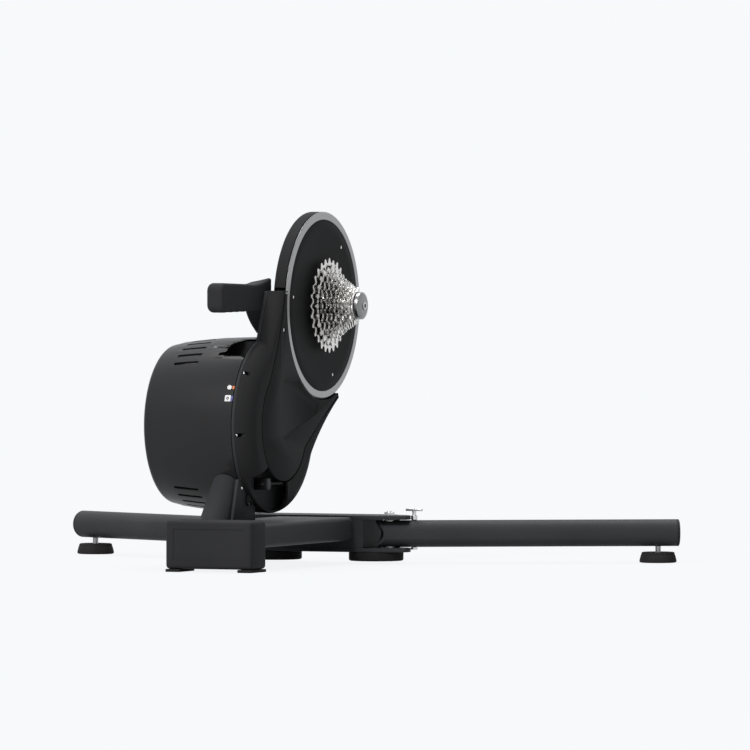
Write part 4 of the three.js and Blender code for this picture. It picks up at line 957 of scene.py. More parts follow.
# Two controls stand in the drum's rim beside the plate: a white status button with a lit orange mark
# beside it, and a white square socket for the power lead with a blue mark beside it.
controls_top = 0.1098
white = Paint("white_plastic", (0.78, 0.78, 0.77), 0.35)
speck = white.noise(500.0, 2.0)
white.feed("Roughness", speck * 0.12 + 0.3)
white.shade(speck, (0.72, 0.72, 0.70), (0.84, 0.84, 0.83))


def mark_paint(name, dark, light):
    """A coloured plastic whose tone varies a little."""
    paint = Paint(name, light, 0.4)
    tone = paint.noise(700.0, 2.0)
    paint.shade(tone, dark, light)
    return paint


def on_drum(piece, angle, body, paint, *nodes):
    """Sets a piece that was made upright into the drum's rim at an angle."""
    piece.matrix_world = on_rim(angle, controls_x)
    settle(piece)
    return hand_over(piece, body, paint, *nodes)


flange_low, flange_high = 0.1028, 0.1048
flange_width = 0.002
wide = button_radius + flange_width
profile = [(0, flange_low), (wide, flange_low), (wide, flange_high), (button_radius, flange_high)]
profile += [(button_radius, controls_top - 0.0006), (0.0026, controls_top - 0.0001), (0.0022, controls_top)]
profile += [(0.0017, controls_top - 0.0001), (0.0015, controls_top - 0.0006), (0, controls_top - 0.0003)]
cap = turn("button_cap", profile, Matrix.Identity(4), 40)
smooth(cap)
on_drum(cap, button_angle, "button", white, "status_button")
inlet = cuboid("inlet_body", (-inlet_half, -inlet_half, flange_low), (inlet_half, inlet_half, controls_top))
soften(inlet, 0.0007, 3)
inlet_bore, inlet_pin, inlet_depth = 0.0021, 0.0006, 0.005
bore_low, bore_high = controls_top - inlet_depth, controls_top + overrun
carve(inlet, cylinder("inlet_bore", (0, 0), inlet_bore, bore_low, bore_high, 32))
wide = inlet_half + flange_width
lip = cuboid("inlet_lip", (-wide, -wide, flange_low - 0.001), (wide, wide, flange_low + 0.001))
pin_low, pin_high = bore_low - 0.001, controls_top - 0.001
pin = cylinder("inlet_pin", (0, 0), inlet_pin, pin_low, pin_high, 16)
smooth(inlet)
inlet = joined("inlet_body", inlet, lip, pin)
on_drum(inlet, inlet_angle, "base", white, "power_inlet")
mark_left, mark_right, mark_low, mark_high = 0.0038, 0.0064, 0.1078, 0.1089
for name, angle, half, dark, light in (
    ("lit_mark", button_angle, 0.0022, (0.55, 0.11, 0.02), (0.80, 0.22, 0.05)),
    ("socket_mark", inlet_angle, 0.0034, (0.02, 0.025, 0.16), (0.04, 0.05, 0.30)),
):
    mark = cuboid(name, (mark_left, -half, mark_low), (mark_right, half, mark_high))
    soften(mark, 0.0002, 1)
    on_drum(mark, angle, "base", mark_paint(name, dark, light))

# The belt housing is a moulded dome over the plate, 21 mm deep and 2.6 mm thick, with a quarter round
# from its rim to its flat face. It is cut away round the disc, under its cover and at the tensioner.
housing_left, housing_face = plate_right + fit, 0.0185
housing_wall = 0.0026
disc_cut = 0.1174
cover_gap = 0.0012
screw_pocket = 0.0028
screw_seat = housing_left + 0.0025
shallow = 0.0001
housing_paint = Paint("black_housing", (0.0275, 0.0275, 0.0284), 0.5, specular=0.01)
skin = housing_paint.noise(2400.0, 2.0)
sheen = housing_paint.noise(6.0, 2.0)
housing_paint.feed("Roughness", sheen * 0.10 + skin * 0.06 + 0.38)
housing_paint.shade(sheen, (0.0219, 0.0219, 0.0227), (0.0308, 0.0308, 0.0316))
housing_paint.bump(skin, 0.25, 0.00007)


def side_outline(radius, joint, fin_start, top, bow, fin_bow, tip_radius, tip_angle):
    """The values of an outline, as a list that can be blended with another."""
    bow_at = Vector((top[0] - bow[0], top[1] - bow[1]))
    fin_at = Vector(polar(axle_yz, disc_cut + fin_bow[0], fin_bow[1]))
    return [Vector((radius, joint, fin_start)), Vector(top), bow_at, fin_at, Vector((tip_radius, tip_angle))]


face_top = (arm_top[0] + 0.005, arm_top[1])
cover_top = (face_top[0] + housing_wall, face_top[1] - housing_wall)
face_radius, cover_radius = 0.085, 0.070
fin_tip, cover_tip = (0.1236, -69.2), (0.1210, -70.2)
rim_sizes = side_outline(
    plate_radius, rim_start, rim_end, arm_top, (0.013, 0.031), (0.0386, -91.8), *fin_tip
)
face_sizes = side_outline(face_radius, 126, 330, face_top, (0.011, 0.051), (0.0336, -96.9), *fin_tip)
cover_sizes = side_outline(cover_radius, 132, 335, cover_top, (0.0126, 0.0534), (0.0323, -98.8), *cover_tip)


def bezier(start, middle, end, steps):
    """Points on a curve that leaves its start and reaches its end in line with the middle point."""
    shares = [step / steps for step in range(steps + 1)]
    return [start * (1 - t) ** 2 + middle * 2 * t * (1 - t) + end * t**2 for t in shares]


def outline_points(sizes, inset, cut):
    """The outline's points in (Y, Z), with its outer edges moved in and the round cut as given."""
    (radius, joint, fin_start), top, bow, fin_bow, (tip_radius, tip_angle) = sizes
    radius -= inset
    tip_angle -= math.degrees(inset / tip_radius)
    tip_radius -= inset
    top = top + Vector((inset, -inset))
    bow = bow + Vector((inset, -inset / 2))
    fin_bow = fin_bow + Vector((-inset / 2, inset / 2))
    shoulder, fin_root = (Vector(polar(drum_yz, radius, angle)) for angle in (joint, fin_start))
    end_angle = -180 - math.degrees(math.asin((top.y - axle_at.z) / cut))
    points = bezier(top, bow, shoulder, 20)
    points += [Vector(p) for p in arc(drum_yz, radius, joint, fin_start, 110)[1:]]
    points += bezier(fin_root, fin_bow, Vector(polar(axle_yz, tip_radius, tip_angle)), 24)[1:]
    points += [Vector(p) for p in arc(axle_yz, cut, tip_angle, end_angle, 70)[0 if tip_radius > cut else 1 :]]
    return points


def skinned(name, rings):
    """A solid whose skin runs from ring to ring: a face is drawn out, and its corners go to the next."""
    count = len(rings[0])
    bpy.ops.object.select_all(action="DESELECT")
    bpy.ops.mesh.primitive_circle_add(vertices=count, fill_type="NGON")
    piece = bpy.context.object
    piece.name = name
    for vertex, point in zip(piece.data.vertices, rings[0]):
        vertex.co = point
    shape = edit(piece)
    for face in shape.faces:
        face.select = True
    for before, after in zip(rings, rings[1:]):
        bpy.ops.mesh.extrude_region_move()
        shape = bmesh.from_edit_mesh(piece.data)
        finder = KDTree(count)
        for number, point in enumerate(before):
            finder.insert(point, number)
        finder.balance()
        for vertex in shape.verts:
            if vertex.select:
                vertex.co = after[finder.find(vertex.co)[1]]
        bmesh.update_edit_mesh(piece.data)
    face_outwards()
    return piece


def dome_rings(inset, cut, depth):
    """The dome's outlines from its rim up to its face, over a quarter round."""
    rings = []
    for angle in range(0, 91, 6):
        lift, out = 1 - math.cos(math.radians(angle)), math.sin(math.radians(angle))
        sizes = [low.lerp(high, lift) for low, high in zip(rim_sizes, face_sizes)]
        x = housing_left + depth * out
        rings.append([Vector((x, p.x, p.y)) for p in outline_points(sizes, inset, cut)])
    return rings


def side_slab(name, points, low, high):
    """A plate that faces along X, with its outline given in (Y, Z)."""
    return slab(name, [tuple(p) for p in points], low, high, along_plus_x)


housing_depth = housing_face - housing_left
housing = skinned("housing_shell", dome_rings(0, disc_cut, housing_depth))
inner_rings = dome_rings(housing_wall, disc_cut - overrun, housing_depth - housing_wall)
mouth = [p - Vector((overrun, 0, 0)) for p in inner_rings[0]]
carve(housing, skinned("hollow", [mouth] + inner_rings))
lobe_radius, lobe_height = 0.008, 0.003
past_face = housing_face + overrun
lobe = rod("lobe", polar(drum_yz, 0.112, 234), lobe_radius, housing_left, housing_left + lobe_height)
carve(lobe, rod("inside", drum_yz, plate_radius - housing_wall, housing_left - overrun, housing_face, 120))
carve(housing, lobe, "UNION")
window = outline_points(cover_sizes, -cover_gap, disc_cut - overrun)
carve(housing, side_slab("window", window, housing_face - 2 * housing_wall, past_face))
opening_rim = 0.006
opening = arc(drum_yz, 0.066, 227, 278, 20) + arc(drum_yz, plate_radius + 0.016, 276, 214, 20)
carve(housing, side_slab("opening", opening, housing_left + opening_rim, past_face))
rim_screws = [polar(drum_yz, 0.1066, angle) for angle in (142.1, 185.3)]
plate_screws = [(rear_y + 0.1080, 0.1001), (rear_y + 0.1281, 0.0799)]
for place in rim_screws:
    carve(housing, rod("boss", place, screw_pocket + shallow, housing_left, screw_seat, 40), "UNION")
    carve(housing, rod("pocket", place, screw_pocket, screw_seat, past_face, 40))
plate_pocket = screw_pocket + 0.0012
for place in plate_screws:
    carve(housing, rod("pocket", place, plate_pocket, housing_left - 0.001, past_face, 40))
soften(housing, 0.0005, 2, 48)
hand_over(housing, "base", housing_paint, "belt_housing")

# The cover is a flat plate let into the housing with a fine dark gap all round. It has a shallow
# three-cornered recess, and pegs behind it that take its screws.
cover_plate = 0.003
recess_depth = 0.0004
cover_shrink = 0.0010
arm_pocket, arm_pocket_depth = 0.0036, 0.0016
peg_radius = 0.0036
cover_edge = outline_points(cover_sizes, cover_shrink, disc_cut + fit)
cover = side_slab("cover_plate", cover_edge, housing_face - cover_plate, housing_face)
corner_shares = [(-0.05, 0.75), (-0.107, 0.677), (-0.107, -0.166), (-0.05, -0.237)]
recess = [(drum_at.y + u * cover_radius, drum_at.z + v * cover_radius) for u, v in corner_shares]
recess += [polar(axle_yz, disc_cut + 0.0194, -101.8)] + arc(axle_yz, disc_cut + 0.0066, -101, -132, 30)
carve(cover, side_slab("recess", recess, housing_face - recess_depth, past_face))
arm_screw = (rear_y + 0.1935, 0.293)
carve(cover, rod("pocket", arm_screw, arm_pocket, housing_face - arm_pocket_depth, past_face, 40))
soften(cover, 0.0005, 2, 40)
peg_places = [polar(drum_yz, 0.058, 215), polar(drum_yz, 0.058, 300), polar(axle_yz, 0.1375, -95.4)]
peg_places += [(arm_top[0] + 0.0085, arm_top[1] - 0.019)]
peg_end = housing_face - cover_plate / 2
pegs = [rod("peg", place, peg_radius, housing_left, peg_end, 24) for place in peg_places]
for peg in pegs:
    smooth(peg)
cover = joined("cover_plate", cover, *pegs)
hand_over(cover, "base", housing_paint, "belt_cover")

# Small zinc-plated screws with low round heads and a cross slot hold the housing and the cover. They
# sit at the bottom of dark pockets, so that each shows as a bright dot.
screw_head = 0.0023
head_height = 0.0014
head_skirt = 0.0005
slot_half, slot_wide = 0.0013, 0.00026
slot_share, edge_share = 0.55, 0.96


def round_head(name, place, x):
    """A screw's low head on a face that looks along +X."""
    bend = [(math.sin(math.radians(a)), math.cos(math.radians(a))) for a in range(0, 91, 15)]
    profile = [(screw_head * out, head_height * up) for out, up in bend]
    profile += [(screw_head * edge_share, -head_skirt), (0, -head_skirt)]
    piece = turn(name, profile, at(place, x), 32)
    slot_low, slot_high = head_height * slot_share, head_height + overrun
    for turned in (0, 90):
        slot = cuboid("slot", (-slot_half, -slot_wide, slot_low), (slot_half, slot_wide, slot_high))
        slot.matrix_world = at(place, x) @ Matrix.Rotation(math.radians(45 + turned), 4, "Z")
        settle(slot)
        carve(piece, slot)
    smooth(piece)
    return piece


def drive_screws(name, places, x, body):
    """Hands over one round-headed screw for each place, seated at the given X."""
    for number, place in enumerate(places):
        hand_over(round_head(f"{name}_{number}", place, x), body, zinc)


drive_screws("rim_screw", rim_screws, screw_seat + 0.0002, "base")
drive_screws("plate_screw", plate_screws, plate_right + 0.0005, "base")
hand_over(round_head("arm_screw", arm_screw, housing_face - arm_pocket_depth), "base", zinc)

# The belt is tightened by a long black bolt through a machined block on the plate, with a nut in front
# of the block. The bolt's head is reached through the opening low in the housing.
blackened = Paint("blackened_steel", (0.03, 0.03, 0.031), 0.5, metallic=1.0)
oil = blackened.noise(300.0, 3.0)
blackened.feed("Roughness", oil * 0.2 + 0.4)
blackened.shade(oil, (0.018, 0.018, 0.019), (0.04, 0.04, 0.042))
tension_x = (housing_left + housing_face) / 2
tension_rear, tension_front = rear_y + 0.146, rear_y + 0.210
tension_low, tension_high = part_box("tension_block")
tension_z = (tension_low.z + tension_high.z) / 2
block_front, block_half = tension_rear + 0.012, 0.007
tension_radius, nut_radius = 0.003, 0.0056
nut_height, head_thickness = 0.005, 0.004
facing_front = Matrix.Translation((tension_x, 0, tension_z)) @ Matrix.Rotation(-math.pi / 2, 4, "X")


def facing_forwards(piece):
    """Lays down a piece that was made upright, so that it points forwards along the bolt."""
    piece.matrix_world = facing_front
    settle(piece)
    return piece


low = (tension_low.x, tension_rear, tension_z - block_half)
high = (tension_x + block_half, block_front, tension_z + block_half)
tension_block = cuboid("tension_block_body", low, high)
soften(tension_block, 0.0006, 2)
nut = facing_forwards(hexagon("nut", (0, 0), nut_radius, block_front + shallow, block_front + nut_height))
nut_end = block_front + nut_height + overrun
for piece in (tension_block, nut):
    bore = cylinder("bore", (0, 0), tension_radius + fit, tension_rear - overrun, nut_end, 32)
    carve(piece, facing_forwards(bore))
    smooth(piece)
tension_block = joined("tension_block_body", tension_block, nut)
hand_over(tension_block, "base", blackened, "tension_block")
core_radius = tension_radius - 0.0008
head_rear = tension_front - head_thickness
thread_rear = tension_rear - 0.0022
profile = [(0, tension_rear - 0.003), (core_radius, tension_rear - 0.003), (tension_radius, thread_rear)]
profile += thread(tension_radius, thread_rear, head_rear - 0.0002, 0.001, 0.0004)
profile += [(core_radius, head_rear), (0, head_rear)]
shank = facing_forwards(turn("shank", profile, Matrix.Identity(4), 32))
head = facing_forwards(hexagon("head", (0, 0), nut_radius, head_rear, tension_front - skim))
smooth(shank)
smooth(head)
hand_over(joined("tension_screw", shank, head), "base", blackened, "tension_bolt")

# The guard is a thin dish behind the big pulley. Its rim goes over the top of the belt, from the arm
# at the rear to the fin in front, and stops short below where the belt leaves.
guard_radius = 0.1162
disc_face = 0.0165
ring_thickness = 0.0016
guard_right = disc_face - ring_thickness - 0.0013
guard_back = housing_left + 0.0024
guard_bore = 0.027
guard_inner = guard_radius - 0.003
guard_round, guard_edge = 0.0035, 0.0005
profile = [(guard_bore, housing_left), (guard_radius - guard_round, housing_left)]
for angle in range(15, 91, 15):
    out, lift = math.sin(math.radians(angle)), 1 - math.cos(math.radians(angle))
    profile.append((guard_radius - guard_round * (1 - out), housing_left + guard_round * lift))
profile += [(guard_radius, guard_right - guard_edge), (guard_radius - guard_edge, guard_right)]
profile += [(guard_inner + guard_edge, guard_right), (guard_inner, guard_right - guard_edge)]
profile += [(guard_inner, guard_back), (guard_bore, guard_back), (guard_bore, housing_left)]
guard = turn("pulley_guard", profile, at(axle_yz), 200)
sector = [axle_yz] + arc(axle_yz, 2 * guard_radius, 168, 293.5, 24)
carve(guard, side_slab("sector", sector, guard_back, guard_right + overrun))
smooth(guard)
hand_over(guard, "base", housing_paint, "belt_guard")

# The big pulley is turned from aluminium. Its right-hand flange shows as a bright ring round the black
# disc, with fine lathe lines, and the belt's grooves run round it behind.
lathe_paint = Paint("turned_aluminium", (0.336, 0.336, 0.336), 0.32, metallic=1.0)


def from_axle(paint):
    """The distance of a point from the line of the axle."""
    split = paint.tree.nodes.new("ShaderNodeSeparateXYZ")
    paint.put(split.inputs[0], paint.place())
    y, z = Value(paint, split.outputs[1]) - axle_at.y, Value(paint, split.outputs[2]) - axle_at.z
    return (y * y + z * z) ** 0.5


def lathe_lines(paint, pitch, steps):
    """Fine rings about the axle, whose shades change from one to the next."""
    rings = paint.node("ShaderNodeCombineXYZ", {}, from_axle(paint) * (1 / pitch), 0.0, 0.0)
    return paint.noise(steps, 3.0, rings)


lines = lathe_lines(lathe_paint, 0.001, 2.4)
lathe_paint.feed("Roughness", lines * 0.22 + 0.22)
lathe_paint.shade(lines, (0.2464, 0.2464, 0.2492), (0.3472, 0.3472, 0.3472))
lathe_paint.bump(lines, 0.3, 0.00006)
belt_radius = 0.107
flange_left = disc_face - ring_thickness
ring_inner = 0.1065
disc_thickness = 0.0026
disc_seat = disc_face - disc_thickness - fit
pulley_left = 0.0006
rim_inner = belt_radius - 0.006
sleeve_bore, sleeve_radius = 0.0163, 0.025
sleeve_left, sleeve_right = -0.001, 0.0194
web_left, web_right = pulley_left + 0.005, pulley_left + 0.010
web_round = 0.002
fence_radius = belt_radius + 0.0028
profile = [(sleeve_bore, sleeve_left), (sleeve_radius - 0.0006, sleeve_left)]
profile += [(sleeve_radius, sleeve_left + 0.0006), (sleeve_radius, web_left - web_round)]
profile += [(sleeve_radius + web_round, web_left), (rim_inner - web_round, web_left)]
profile += [(rim_inner, web_left - web_round), (rim_inner, pulley_left)]
profile += [(fence_radius - 0.0002, pulley_left), (fence_radius, pulley_left + 0.0003)]
profile += [(fence_radius, pulley_left + 0.0009), (belt_radius + 0.0002, pulley_left + 0.0013)]
groove_start, groove_pitch, groove_count = pulley_left + 0.0018, 0.00234, 5
groove_foot, groove_depth = 0.0006, 0.0012
ring_chamfer = 0.0018
for groove in range(groove_count):
    start = groove_start + groove * groove_pitch
    profile += [(belt_radius, start), (belt_radius, start + groove_foot)]
    profile += [(belt_radius - groove_depth, start + 0.0015)]
profile += [(belt_radius, flange_left - groove_depth), (fence_radius, flange_left)]
profile += [(guard_radius - 0.0002, flange_left), (guard_radius, flange_left + 0.0002)]
profile += [(guard_radius, flange_left + 0.0004), (guard_radius - ring_chamfer, disc_face)]
profile += [(ring_inner + 0.0003, disc_face), (ring_inner, disc_face - 0.0003), (ring_inner, disc_seat)]
profile += [(rim_inner, disc_seat), (rim_inner, web_right + 0.001), (rim_inner - 0.001, web_right)]
profile += [(sleeve_radius, web_right), (sleeve_radius, sleeve_right - 0.0005)]
profile += [(sleeve_radius - 0.0005, sleeve_right), (sleeve_bore, sleeve_right), (sleeve_bore, sleeve_left)]
pulley = turn("big_pulley", profile, at(axle_yz), 200)
smooth(pulley)
hand_over(pulley, "hub", lathe_paint, "drive_pulley")

# A black plastic disc with a smooth, slightly glossy face fills the pulley. It is dished by a hair
# towards the middle, and three small screws hold it near its edge.
disc_paint = Paint("black_disc", (0.0268, 0.0268, 0.0276), 0.4, specular=0.01)
swirl = disc_paint.noise(5.0, 2.0)
pores = disc_paint.noise(2600.0, 2.0)
disc_paint.feed("Roughness", swirl * 0.10 + pores * 0.05 + 0.32)
disc_paint.shade(swirl, (0.0232, 0.0232, 0.0236), (0.0303, 0.0303, 0.0313))
disc_paint.bump(pores, 0.2, 0.00005)
disc_outer, disc_bore = ring_inner - fit, sleeve_radius + 2 * fit
disc_edge, bore_edge = 0.0006, 0.0005
back, front = disc_seat + fit, disc_seat + disc_thickness
profile = [(disc_bore, back), (disc_outer, back), (disc_outer, front - disc_edge)]
profile += [(disc_outer - disc_edge / 3, front - disc_edge / 3), (disc_outer - disc_edge, front)]
face_dip = [(0.094, 0), (0.088, 0.0004), (0.060, 0.0006), (0.036, 0.0004), (0.032, 0)]
profile += [(radius, front - dip) for radius, dip in face_dip]
profile += [(disc_bore + bore_edge, front), (disc_bore, front - bore_edge), (disc_bore, back)]
disc = turn("pulley_disc", profile, at(axle_yz), 200)
disc_screws = [polar(axle_yz, 0.0924, angle) for angle in (50.4, 172.5, 290.0)]
disc_pocket, disc_pocket_depth = 0.0030, 0.0013
for place in disc_screws:
    carve(disc, rod("pocket", place, disc_pocket, front - disc_pocket_depth, front + overrun, 40))
smooth(disc)
hand_over(disc, "hub", disc_paint, "pulley_cover")
drive_screws("disc_screw", disc_screws, front - disc_pocket_depth - 0.00005, "hub")

# The cassette's sprockets are stamped from nickel-plated steel, ten of them from 28 teeth down to 11.
# The teeth have rounded roots and narrow tips, with every sixth cut low for shifting, and the biggest
# sprockets are pierced to save weight. Spacers hold them apart on the freehub.
nickel = Paint("nickel_plate", (0.66, 0.65, 0.63), 0.22, metallic=1.0)
stamp = nickel.noise(420.0, 3.0)
smear = nickel.noise(60.0, 2.0)
nickel.feed("Roughness", stamp * 0.16 + smear * 0.10 + 0.05)
nickel.shade(smear, (0.5, 0.49, 0.475), (0.78, 0.77, 0.75))
nickel.bump(stamp, 0.15, 0.00005)
cassette_left = 0.023
sprocket_pitch = 0.00395
sprocket_thickness = 0.0019
chain_pitch = 0.0127
tooth_rise, tooth_drop = 0.00205, 0.00395
sprocket_teeth = [28, 24, 21, 19, 17, 15, 14, 13, 12, 11]
tooth_form = [(-0.50, 0), (-0.40, 0.03), (-0.31, 0.18), (-0.22, 0.50), (-0.15, 0.82), (-0.09, 0.98)]
tooth_form += [(0.0, 1.0), (0.09, 0.98), (0.15, 0.82), (0.22, 0.50), (0.31, 0.18), (0.40, 0.03)]
low_every, low_share = 6, 0.72
freehub_radius = 0.016
spacer_radius, small_spacer_radius = 0.020, 0.0182
spacer_edge = 0.0003
hub_band, tooth_band, least_window = 0.0025, 0.0035, 0.004
cassette_bore = (freehub_radius + fit) / math.cos(math.pi / 18)


def sprocket(number):
    """One sprocket, with its teeth, its bore and, where there is room, its windows."""
    teeth = sprocket_teeth[number]
    pitch_radius = chain_pitch / (2 * math.sin(math.pi / teeth))
    root = pitch_radius - tooth_drop
    outline = []
    for tooth in range(teeth):
        height = (tooth_drop + tooth_rise) * (low_share if tooth % low_every == number % low_every else 1.0)
        for turned, share in tooth_form:
            angle = 360 * (tooth + turned) / teeth
            outline.append(polar(axle_yz, root + height * share, angle))
    left = cassette_left + number * sprocket_pitch
    plate = side_slab("sprocket", outline, left, left + sprocket_thickness)
    right = left + sprocket_thickness
    inner, outer = spacer_radius + hub_band, root - tooth_band
    if outer - inner > least_window:
        windows = 8 if number == 0 else 6
        for window in range(windows):
            middle = 360 * window / windows + 12 * number
            spread = 0.30 * 360 / windows
            shape = arc(axle_yz, outer, middle - spread, middle + spread, 8)
            shape += arc(axle_yz, inner, middle + spread * 0.7, middle - spread * 0.7, 6)
            tool = side_slab("window", shape, left - 0.002, right + 0.002)
            soften(tool, 0.0012, 3, 30)
            carve(plate, tool)
    carve(plate, rod("bore", axle_yz, cassette_bore, left - overrun, right + overrun))
    soften(plate, 0.00022, 1, 50)
    return plate


def spacer(number, gap):
    """The ring between one sprocket and the next, shorter by the gap where a cluster ends."""
    left = cassette_left + number * sprocket_pitch + sprocket_thickness
    right = left + sprocket_pitch - sprocket_thickness - gap
    radius = spacer_radius if number < 7 else small_spacer_radius
    ring = turn("spacer", bush(cassette_bore, radius, left, right, spacer_edge), at(axle_yz), 72)
    smooth(ring)
    return ring


for name, first, last in (("large", 0, 3), ("middle", 3, 6), ("small", 6, 10)):
    stack = [sprocket(number) for number in range(first, last)]
    for number in range(first, last):
        if number < len(sprocket_teeth) - 1:
            stack.append(spacer(number, fit if number == last - 1 else 0.0))
    hand_over(joined("sprockets_" + name, *stack), "freewheel", nickel, "cassette_" + name)

# The freehub carries the sprockets on the hub's right side and turns on the axle. It is a machined
# sleeve with a flange behind the biggest sprocket and splines along it.
machined = Paint("machined_steel", (0.50, 0.50, 0.51), 0.3, metallic=1.0)
turned_lines = lathe_lines(machined, 0.0006, 2.0)
grain = machined.noise(500.0, 2.0)
machined.feed("Roughness", turned_lines * 0.16 + grain * 0.08 + 0.20)
machined.shade(grain, (0.42, 0.42, 0.43), (0.58, 0.58, 0.59))
machined.bump(turned_lines, 0.2, 0.00004)
axle_radius = 0.008
freehub_bore = axle_radius + fit
freehub_left, freehub_flange = 0.0198, 0.019
lockring_left = cassette_left + 9 * sprocket_pitch + sprocket_thickness + fit
freehub_right = lockring_left - fit - sprocket_thickness
flange_right = cassette_left - fit
spline_count, spline_radius, spline_height = 9, 0.0016, 0.0006
profile = [(freehub_bore, freehub_left), (freehub_flange - 0.0005, freehub_left)]
profile += [(freehub_flange, freehub_left + 0.0005), (freehub_flange, flange_right)]
profile += [(freehub_radius, flange_right), (freehub_radius, freehub_right - spline_height)]
profile += [(freehub_radius - spline_height, freehub_right), (freehub_bore, freehub_right)]
freehub = turn("freehub_sleeve", profile + [(freehub_bore, freehub_left)], at(axle_yz), 108)


def cut_round_axle(piece, count, distance, radius, low, high):
    """Cuts equal round grooves along X, evenly spaced round the axle."""
    centres = [polar(axle_yz, distance, 360 * number / count) for number in range(count)]
    grooves = [rod("groove", centre, radius, low, high, 16) for centre in centres]
    carve(piece, joined("grooves", *grooves))


groove_ends = (flange_right + 0.0005, freehub_right + overrun)
cut_round_axle(freehub, spline_count, freehub_radius + spline_height, spline_radius, *groove_ends)
smooth(freehub)
hand_over(freehub, "freewheel", machined, "freehub_body")

# The lockring screws into the freehub and clamps the smallest sprocket. It is turned from steel, with
# a knurled edge, a dished face and twelve notches in its bore for the tool.
lockring_bore, lockring_radius = axle_radius + 3 * fit, 0.0185
lockring_right = lockring_left + 0.0026
knurls, knurl_depth = 60, 0.0004
notch_count, notch_radius = 12, 0.0011
outline = [
    polar(axle_yz, lockring_radius - knurl_depth * (point % 2), 180 * point / knurls)
    for point in range(2 * knurls)
]
lockring = side_slab("lock_ring", outline, lockring_left, lockring_right)
soften(lockring, 0.0003, 1, 60)
dish = [(0, lockring_right - 0.0007), (0.0128, lockring_right - 0.0007), (0.0150, lockring_right + 0.0004)]
dish += [(0.0150, lockring_right + overrun), (0, lockring_right + overrun)]
carve(lockring, turn("dish", dish, at(axle_yz), 96))
through = (lockring_left - overrun, lockring_right + overrun)
carve(lockring, rod("bore", axle_yz, lockring_bore, *through))
cut_round_axle(lockring, notch_count, lockring_bore + 0.0002, notch_radius, *through)
smooth(lockring)
hand_over(lockring, "freewheel", nickel, "lockring")

# The axle is a hollow steel rod, and a bicycle's dropouts rest on the stub at each end. A domed
# aluminium cap on each stub keeps the hub in its place; the left one has a long spacer behind it.
polished = Paint("polished_aluminium", (0.2898, 0.2898, 0.2898), 0.22, metallic=1.0)
cap_lines = lathe_lines(polished, 0.0005, 2.2)
polished.feed("Roughness", cap_lines * 0.20 + 0.16)
polished.shade(cap_lines, (0.1683, 0.1683, 0.166), (0.2805, 0.2805, 0.2758))
polished.bump(cap_lines, 0.3, 0.00005)
skewer_bore, stub_radius = 0.0027, 0.005
shoulder = lockring_right + fit
cap_left = lockring_right + 2 * fit
cap_right = cap_left + 0.0044
cap_top = cap_right + 0.0032
axle_end = shoulder + 0.0094
cap_radius = 0.017
stub_edge = 0.0005
right_half = [(axle_radius, shoulder - edge_break), (axle_radius - edge_break, shoulder)]
right_half += [(stub_radius, shoulder), (stub_radius, axle_end - stub_edge)]
right_half += [(stub_radius - stub_edge, axle_end)]
right_half += [(skewer_bore + edge_break, axle_end), (skewer_bore, axle_end - edge_break)]
left_half = [(radius, -x) for radius, x in reversed(right_half)]
axle = turn("axle_rod", left_half + right_half + left_half[:1], at(axle_yz), 64)
smooth(axle)
hand_over(axle, "base", machined, "axle")


def cap_dome(side):
    """The cap's outer face, which falls from the stub to the rim in one round sweep."""
    sweep = [(stub_radius + fit, side * cap_top), (axle_radius - 0.0006, side * cap_top)]
    for angle in range(0, 91, 9):
        out, up = math.sin(math.radians(angle)), math.cos(math.radians(angle))
        height = cap_right + (cap_top - cap_right) * up
        sweep.append((axle_radius + (cap_radius - axle_radius) * out, side * height))
    return sweep


stub_bore = stub_radius + fit
groove_bottom = cap_radius - edge_break
rim = [(cap_radius, cap_left + 0.0016), (groove_bottom, cap_left + 0.0013)]
rim += [(groove_bottom, cap_left + 0.0008), (cap_radius, cap_left + 0.0005), (groove_bottom, cap_left)]
rim += [(stub_bore, cap_left), (stub_bore, cap_top)]
right_cap = turn("right_axle_cap", cap_dome(1) + rim, at(axle_yz), 128)
smooth(right_cap)
hand_over(right_cap, "base", polished, "axle_cap_right")
spacer_right, neck = plate_left - fit, 0.011
cone_right, cone_left = cap_radius - cap_left, neck - cap_left
profile = cap_dome(-1) + [(cap_radius, cone_left - edge_break), (cap_radius - edge_break, cone_left)]
profile += [(neck + 0.0006, cone_right - 0.0006), (neck, cone_right), (neck, spacer_right - edge_break)]
profile += [(neck - edge_break, spacer_right), (axle_radius + fit, spacer_right)]
profile += [(axle_radius + fit, -cap_left), (stub_bore, -cap_left), (stub_bore, -cap_top)]
left_cap = turn("left_axle_cap", profile, at(axle_yz), 128)
smooth(left_cap)
hand_over(left_cap, "base", polished, "axle_cap_left")

# The carrying handle is a black moulded grip, rounded all along, with four finger waves below. Its root
# widens beside the arm, where hidden screws hold it to the plate.
grip_rear, grip_root = rear_y + 0.060, rear_y + 0.211
grip_top, grip_bottom = 0.353, 0.3165
grip_left, grip_right = -0.0298, plate_left - fit
grip_corner, left_round, right_round = 0.010, 0.007, 0.0035
wave_start, wave_length, wave_depth, wave_count = rear_y + 0.076, 0.019, 0.0024, 4
root_end = rear_y + 0.240
flare_start, flare_rise = rear_y + 0.160, 3.076


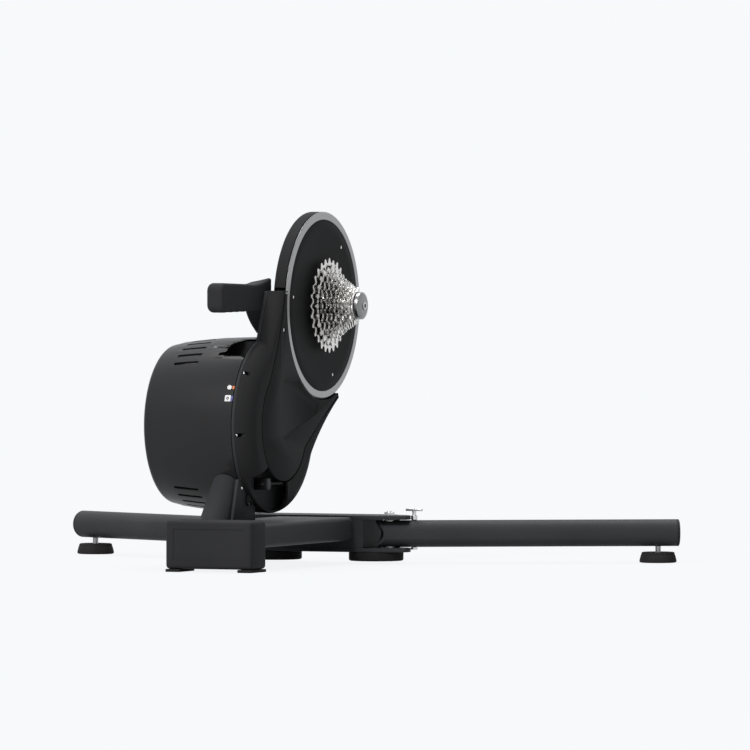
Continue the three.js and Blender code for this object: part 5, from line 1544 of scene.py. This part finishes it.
def grip_outline():
    """The grip's outline in (Y, Z), which runs on in front, where its root is cut off."""
    points = arc((grip_rear + grip_corner, grip_top - grip_corner), grip_corner, 90, 180, 10)
    points += arc((grip_rear + grip_corner, grip_bottom + grip_corner), grip_corner, 180, 270, 10)
    for step in range(wave_count * 10 + 1):
        dip = wave_depth / 2 * (1 - math.cos(math.radians(36 * step)))
        points.append((wave_start + wave_length * step / 10, grip_bottom + dip))
    points += [(rear_y + 0.172, 0.3165), (rear_y + 0.1765, 0.3155), (rear_y + 0.1800, 0.3130)]
    points += [(rear_y + 0.206, 0.2688), (root_end, 0.2663)]
    for step in range(17):
        y = root_end + (flare_start - root_end) * step / 16
        points.append((y, 0.3498 + flare_rise * (y - flare_start) ** 2))
    return [Vector(point) for point in points]


def moved_in(points, inset):
    """The outline with every side moved in by the same amount."""
    moved = []
    for before, point, after in zip(points[-1:] + points[:-1], points, points[1:] + points[:1]):
        came, goes = (point - before).normalized(), (after - point).normalized()
        along = (came + goes).normalized()
        moved.append(point + Vector((-along.y, along.x)) * inset / max(along.dot(came), 0.5))
    return moved


def round_side(face, inward, radius):
    """The X and the inset of each ring of a rounded side, from its face inwards."""
    turns = [math.radians(angle) for angle in range(0, 91, 15)]
    return [(face + inward * radius * (1 - math.cos(t)), radius * (1 - math.sin(t))) for t in turns]


outline = grip_outline()
rings = round_side(grip_left, 1, left_round) + round_side(grip_right, -1, right_round)[::-1]
grip = skinned("grip", [[Vector((x, p.x, p.y)) for p in moved_in(outline, inset)] for x, inset in rings])
root_bevel = ((grip_left, rear_y + 0.180, 0), (-0.8, 0.6, 0))
for place, normal in (((0, grip_root, 0), (0, 1, 0)), ((0, 0, 0.289), (0, 0, -1)), root_bevel):
    edit(grip)
    bpy.ops.mesh.select_all(action="SELECT")
    bpy.ops.mesh.bisect(plane_co=place, plane_no=normal, use_fill=True, clear_outer=True)
    close()
smooth(grip, 40)
hand_over(grip, "base", moulded, "handle")

# Inside the drum a heavy cast-iron flywheel turns on a steel shaft in two bearings, driven by the belt
# over a small pulley. A copper coil brakes it, and a green board controls the coil.
iron = Paint("cast_iron", (0.12, 0.12, 0.125), 0.5, metallic=1.0)
cast = iron.noise(240.0, 4.0)
iron.feed("Roughness", cast * 0.25 + 0.35)
iron.shade(cast, (0.09, 0.09, 0.093), (0.16, 0.16, 0.165))
iron.bump(cast, 0.3, 0.0003)
bearing_steel = Paint("bearing_steel", (0.55, 0.55, 0.56), 0.2, metallic=1.0)
polish = bearing_steel.noise(160.0, 2.0)
bearing_steel.feed("Roughness", polish * 0.14 + 0.12)
bearing_steel.shade(polish, (0.48, 0.48, 0.49), (0.60, 0.60, 0.61))
copper = Paint("wound_copper", (0.60, 0.26, 0.12), 0.35, metallic=1.0)
wires = copper.noise(900.0, 2.0)
copper.feed("Roughness", wires * 0.2 + 0.25)
copper.shade(wires, (0.42, 0.16, 0.07), (0.68, 0.32, 0.16))
copper.bump(wires, 0.5, 0.0003)
lacquer = Paint("green_lacquer", (0.01, 0.07, 0.03), 0.35)
copper_paths = lacquer.noise(350.0, 1.0)
lacquer.feed("Roughness", copper_paths * 0.2 + 0.25)
lacquer.shade(copper_paths > 0.55, (0.008, 0.055, 0.024), (0.014, 0.10, 0.04))
inside = {
    "flywheel": iron,
    "flywheel_shaft": bearing_steel,
    "belt_pulley_small": machined,
    "brake_coil": copper,
    "circuit_board": lacquer,
    "belt": rubber,
}
inside.update({name: bearing_steel for name in frame["nodes"] if "bearing" in name})
for name, paint in inside.items():
    for slot in frame["nodes"][name].material_slots:
        slot.material = paint.material
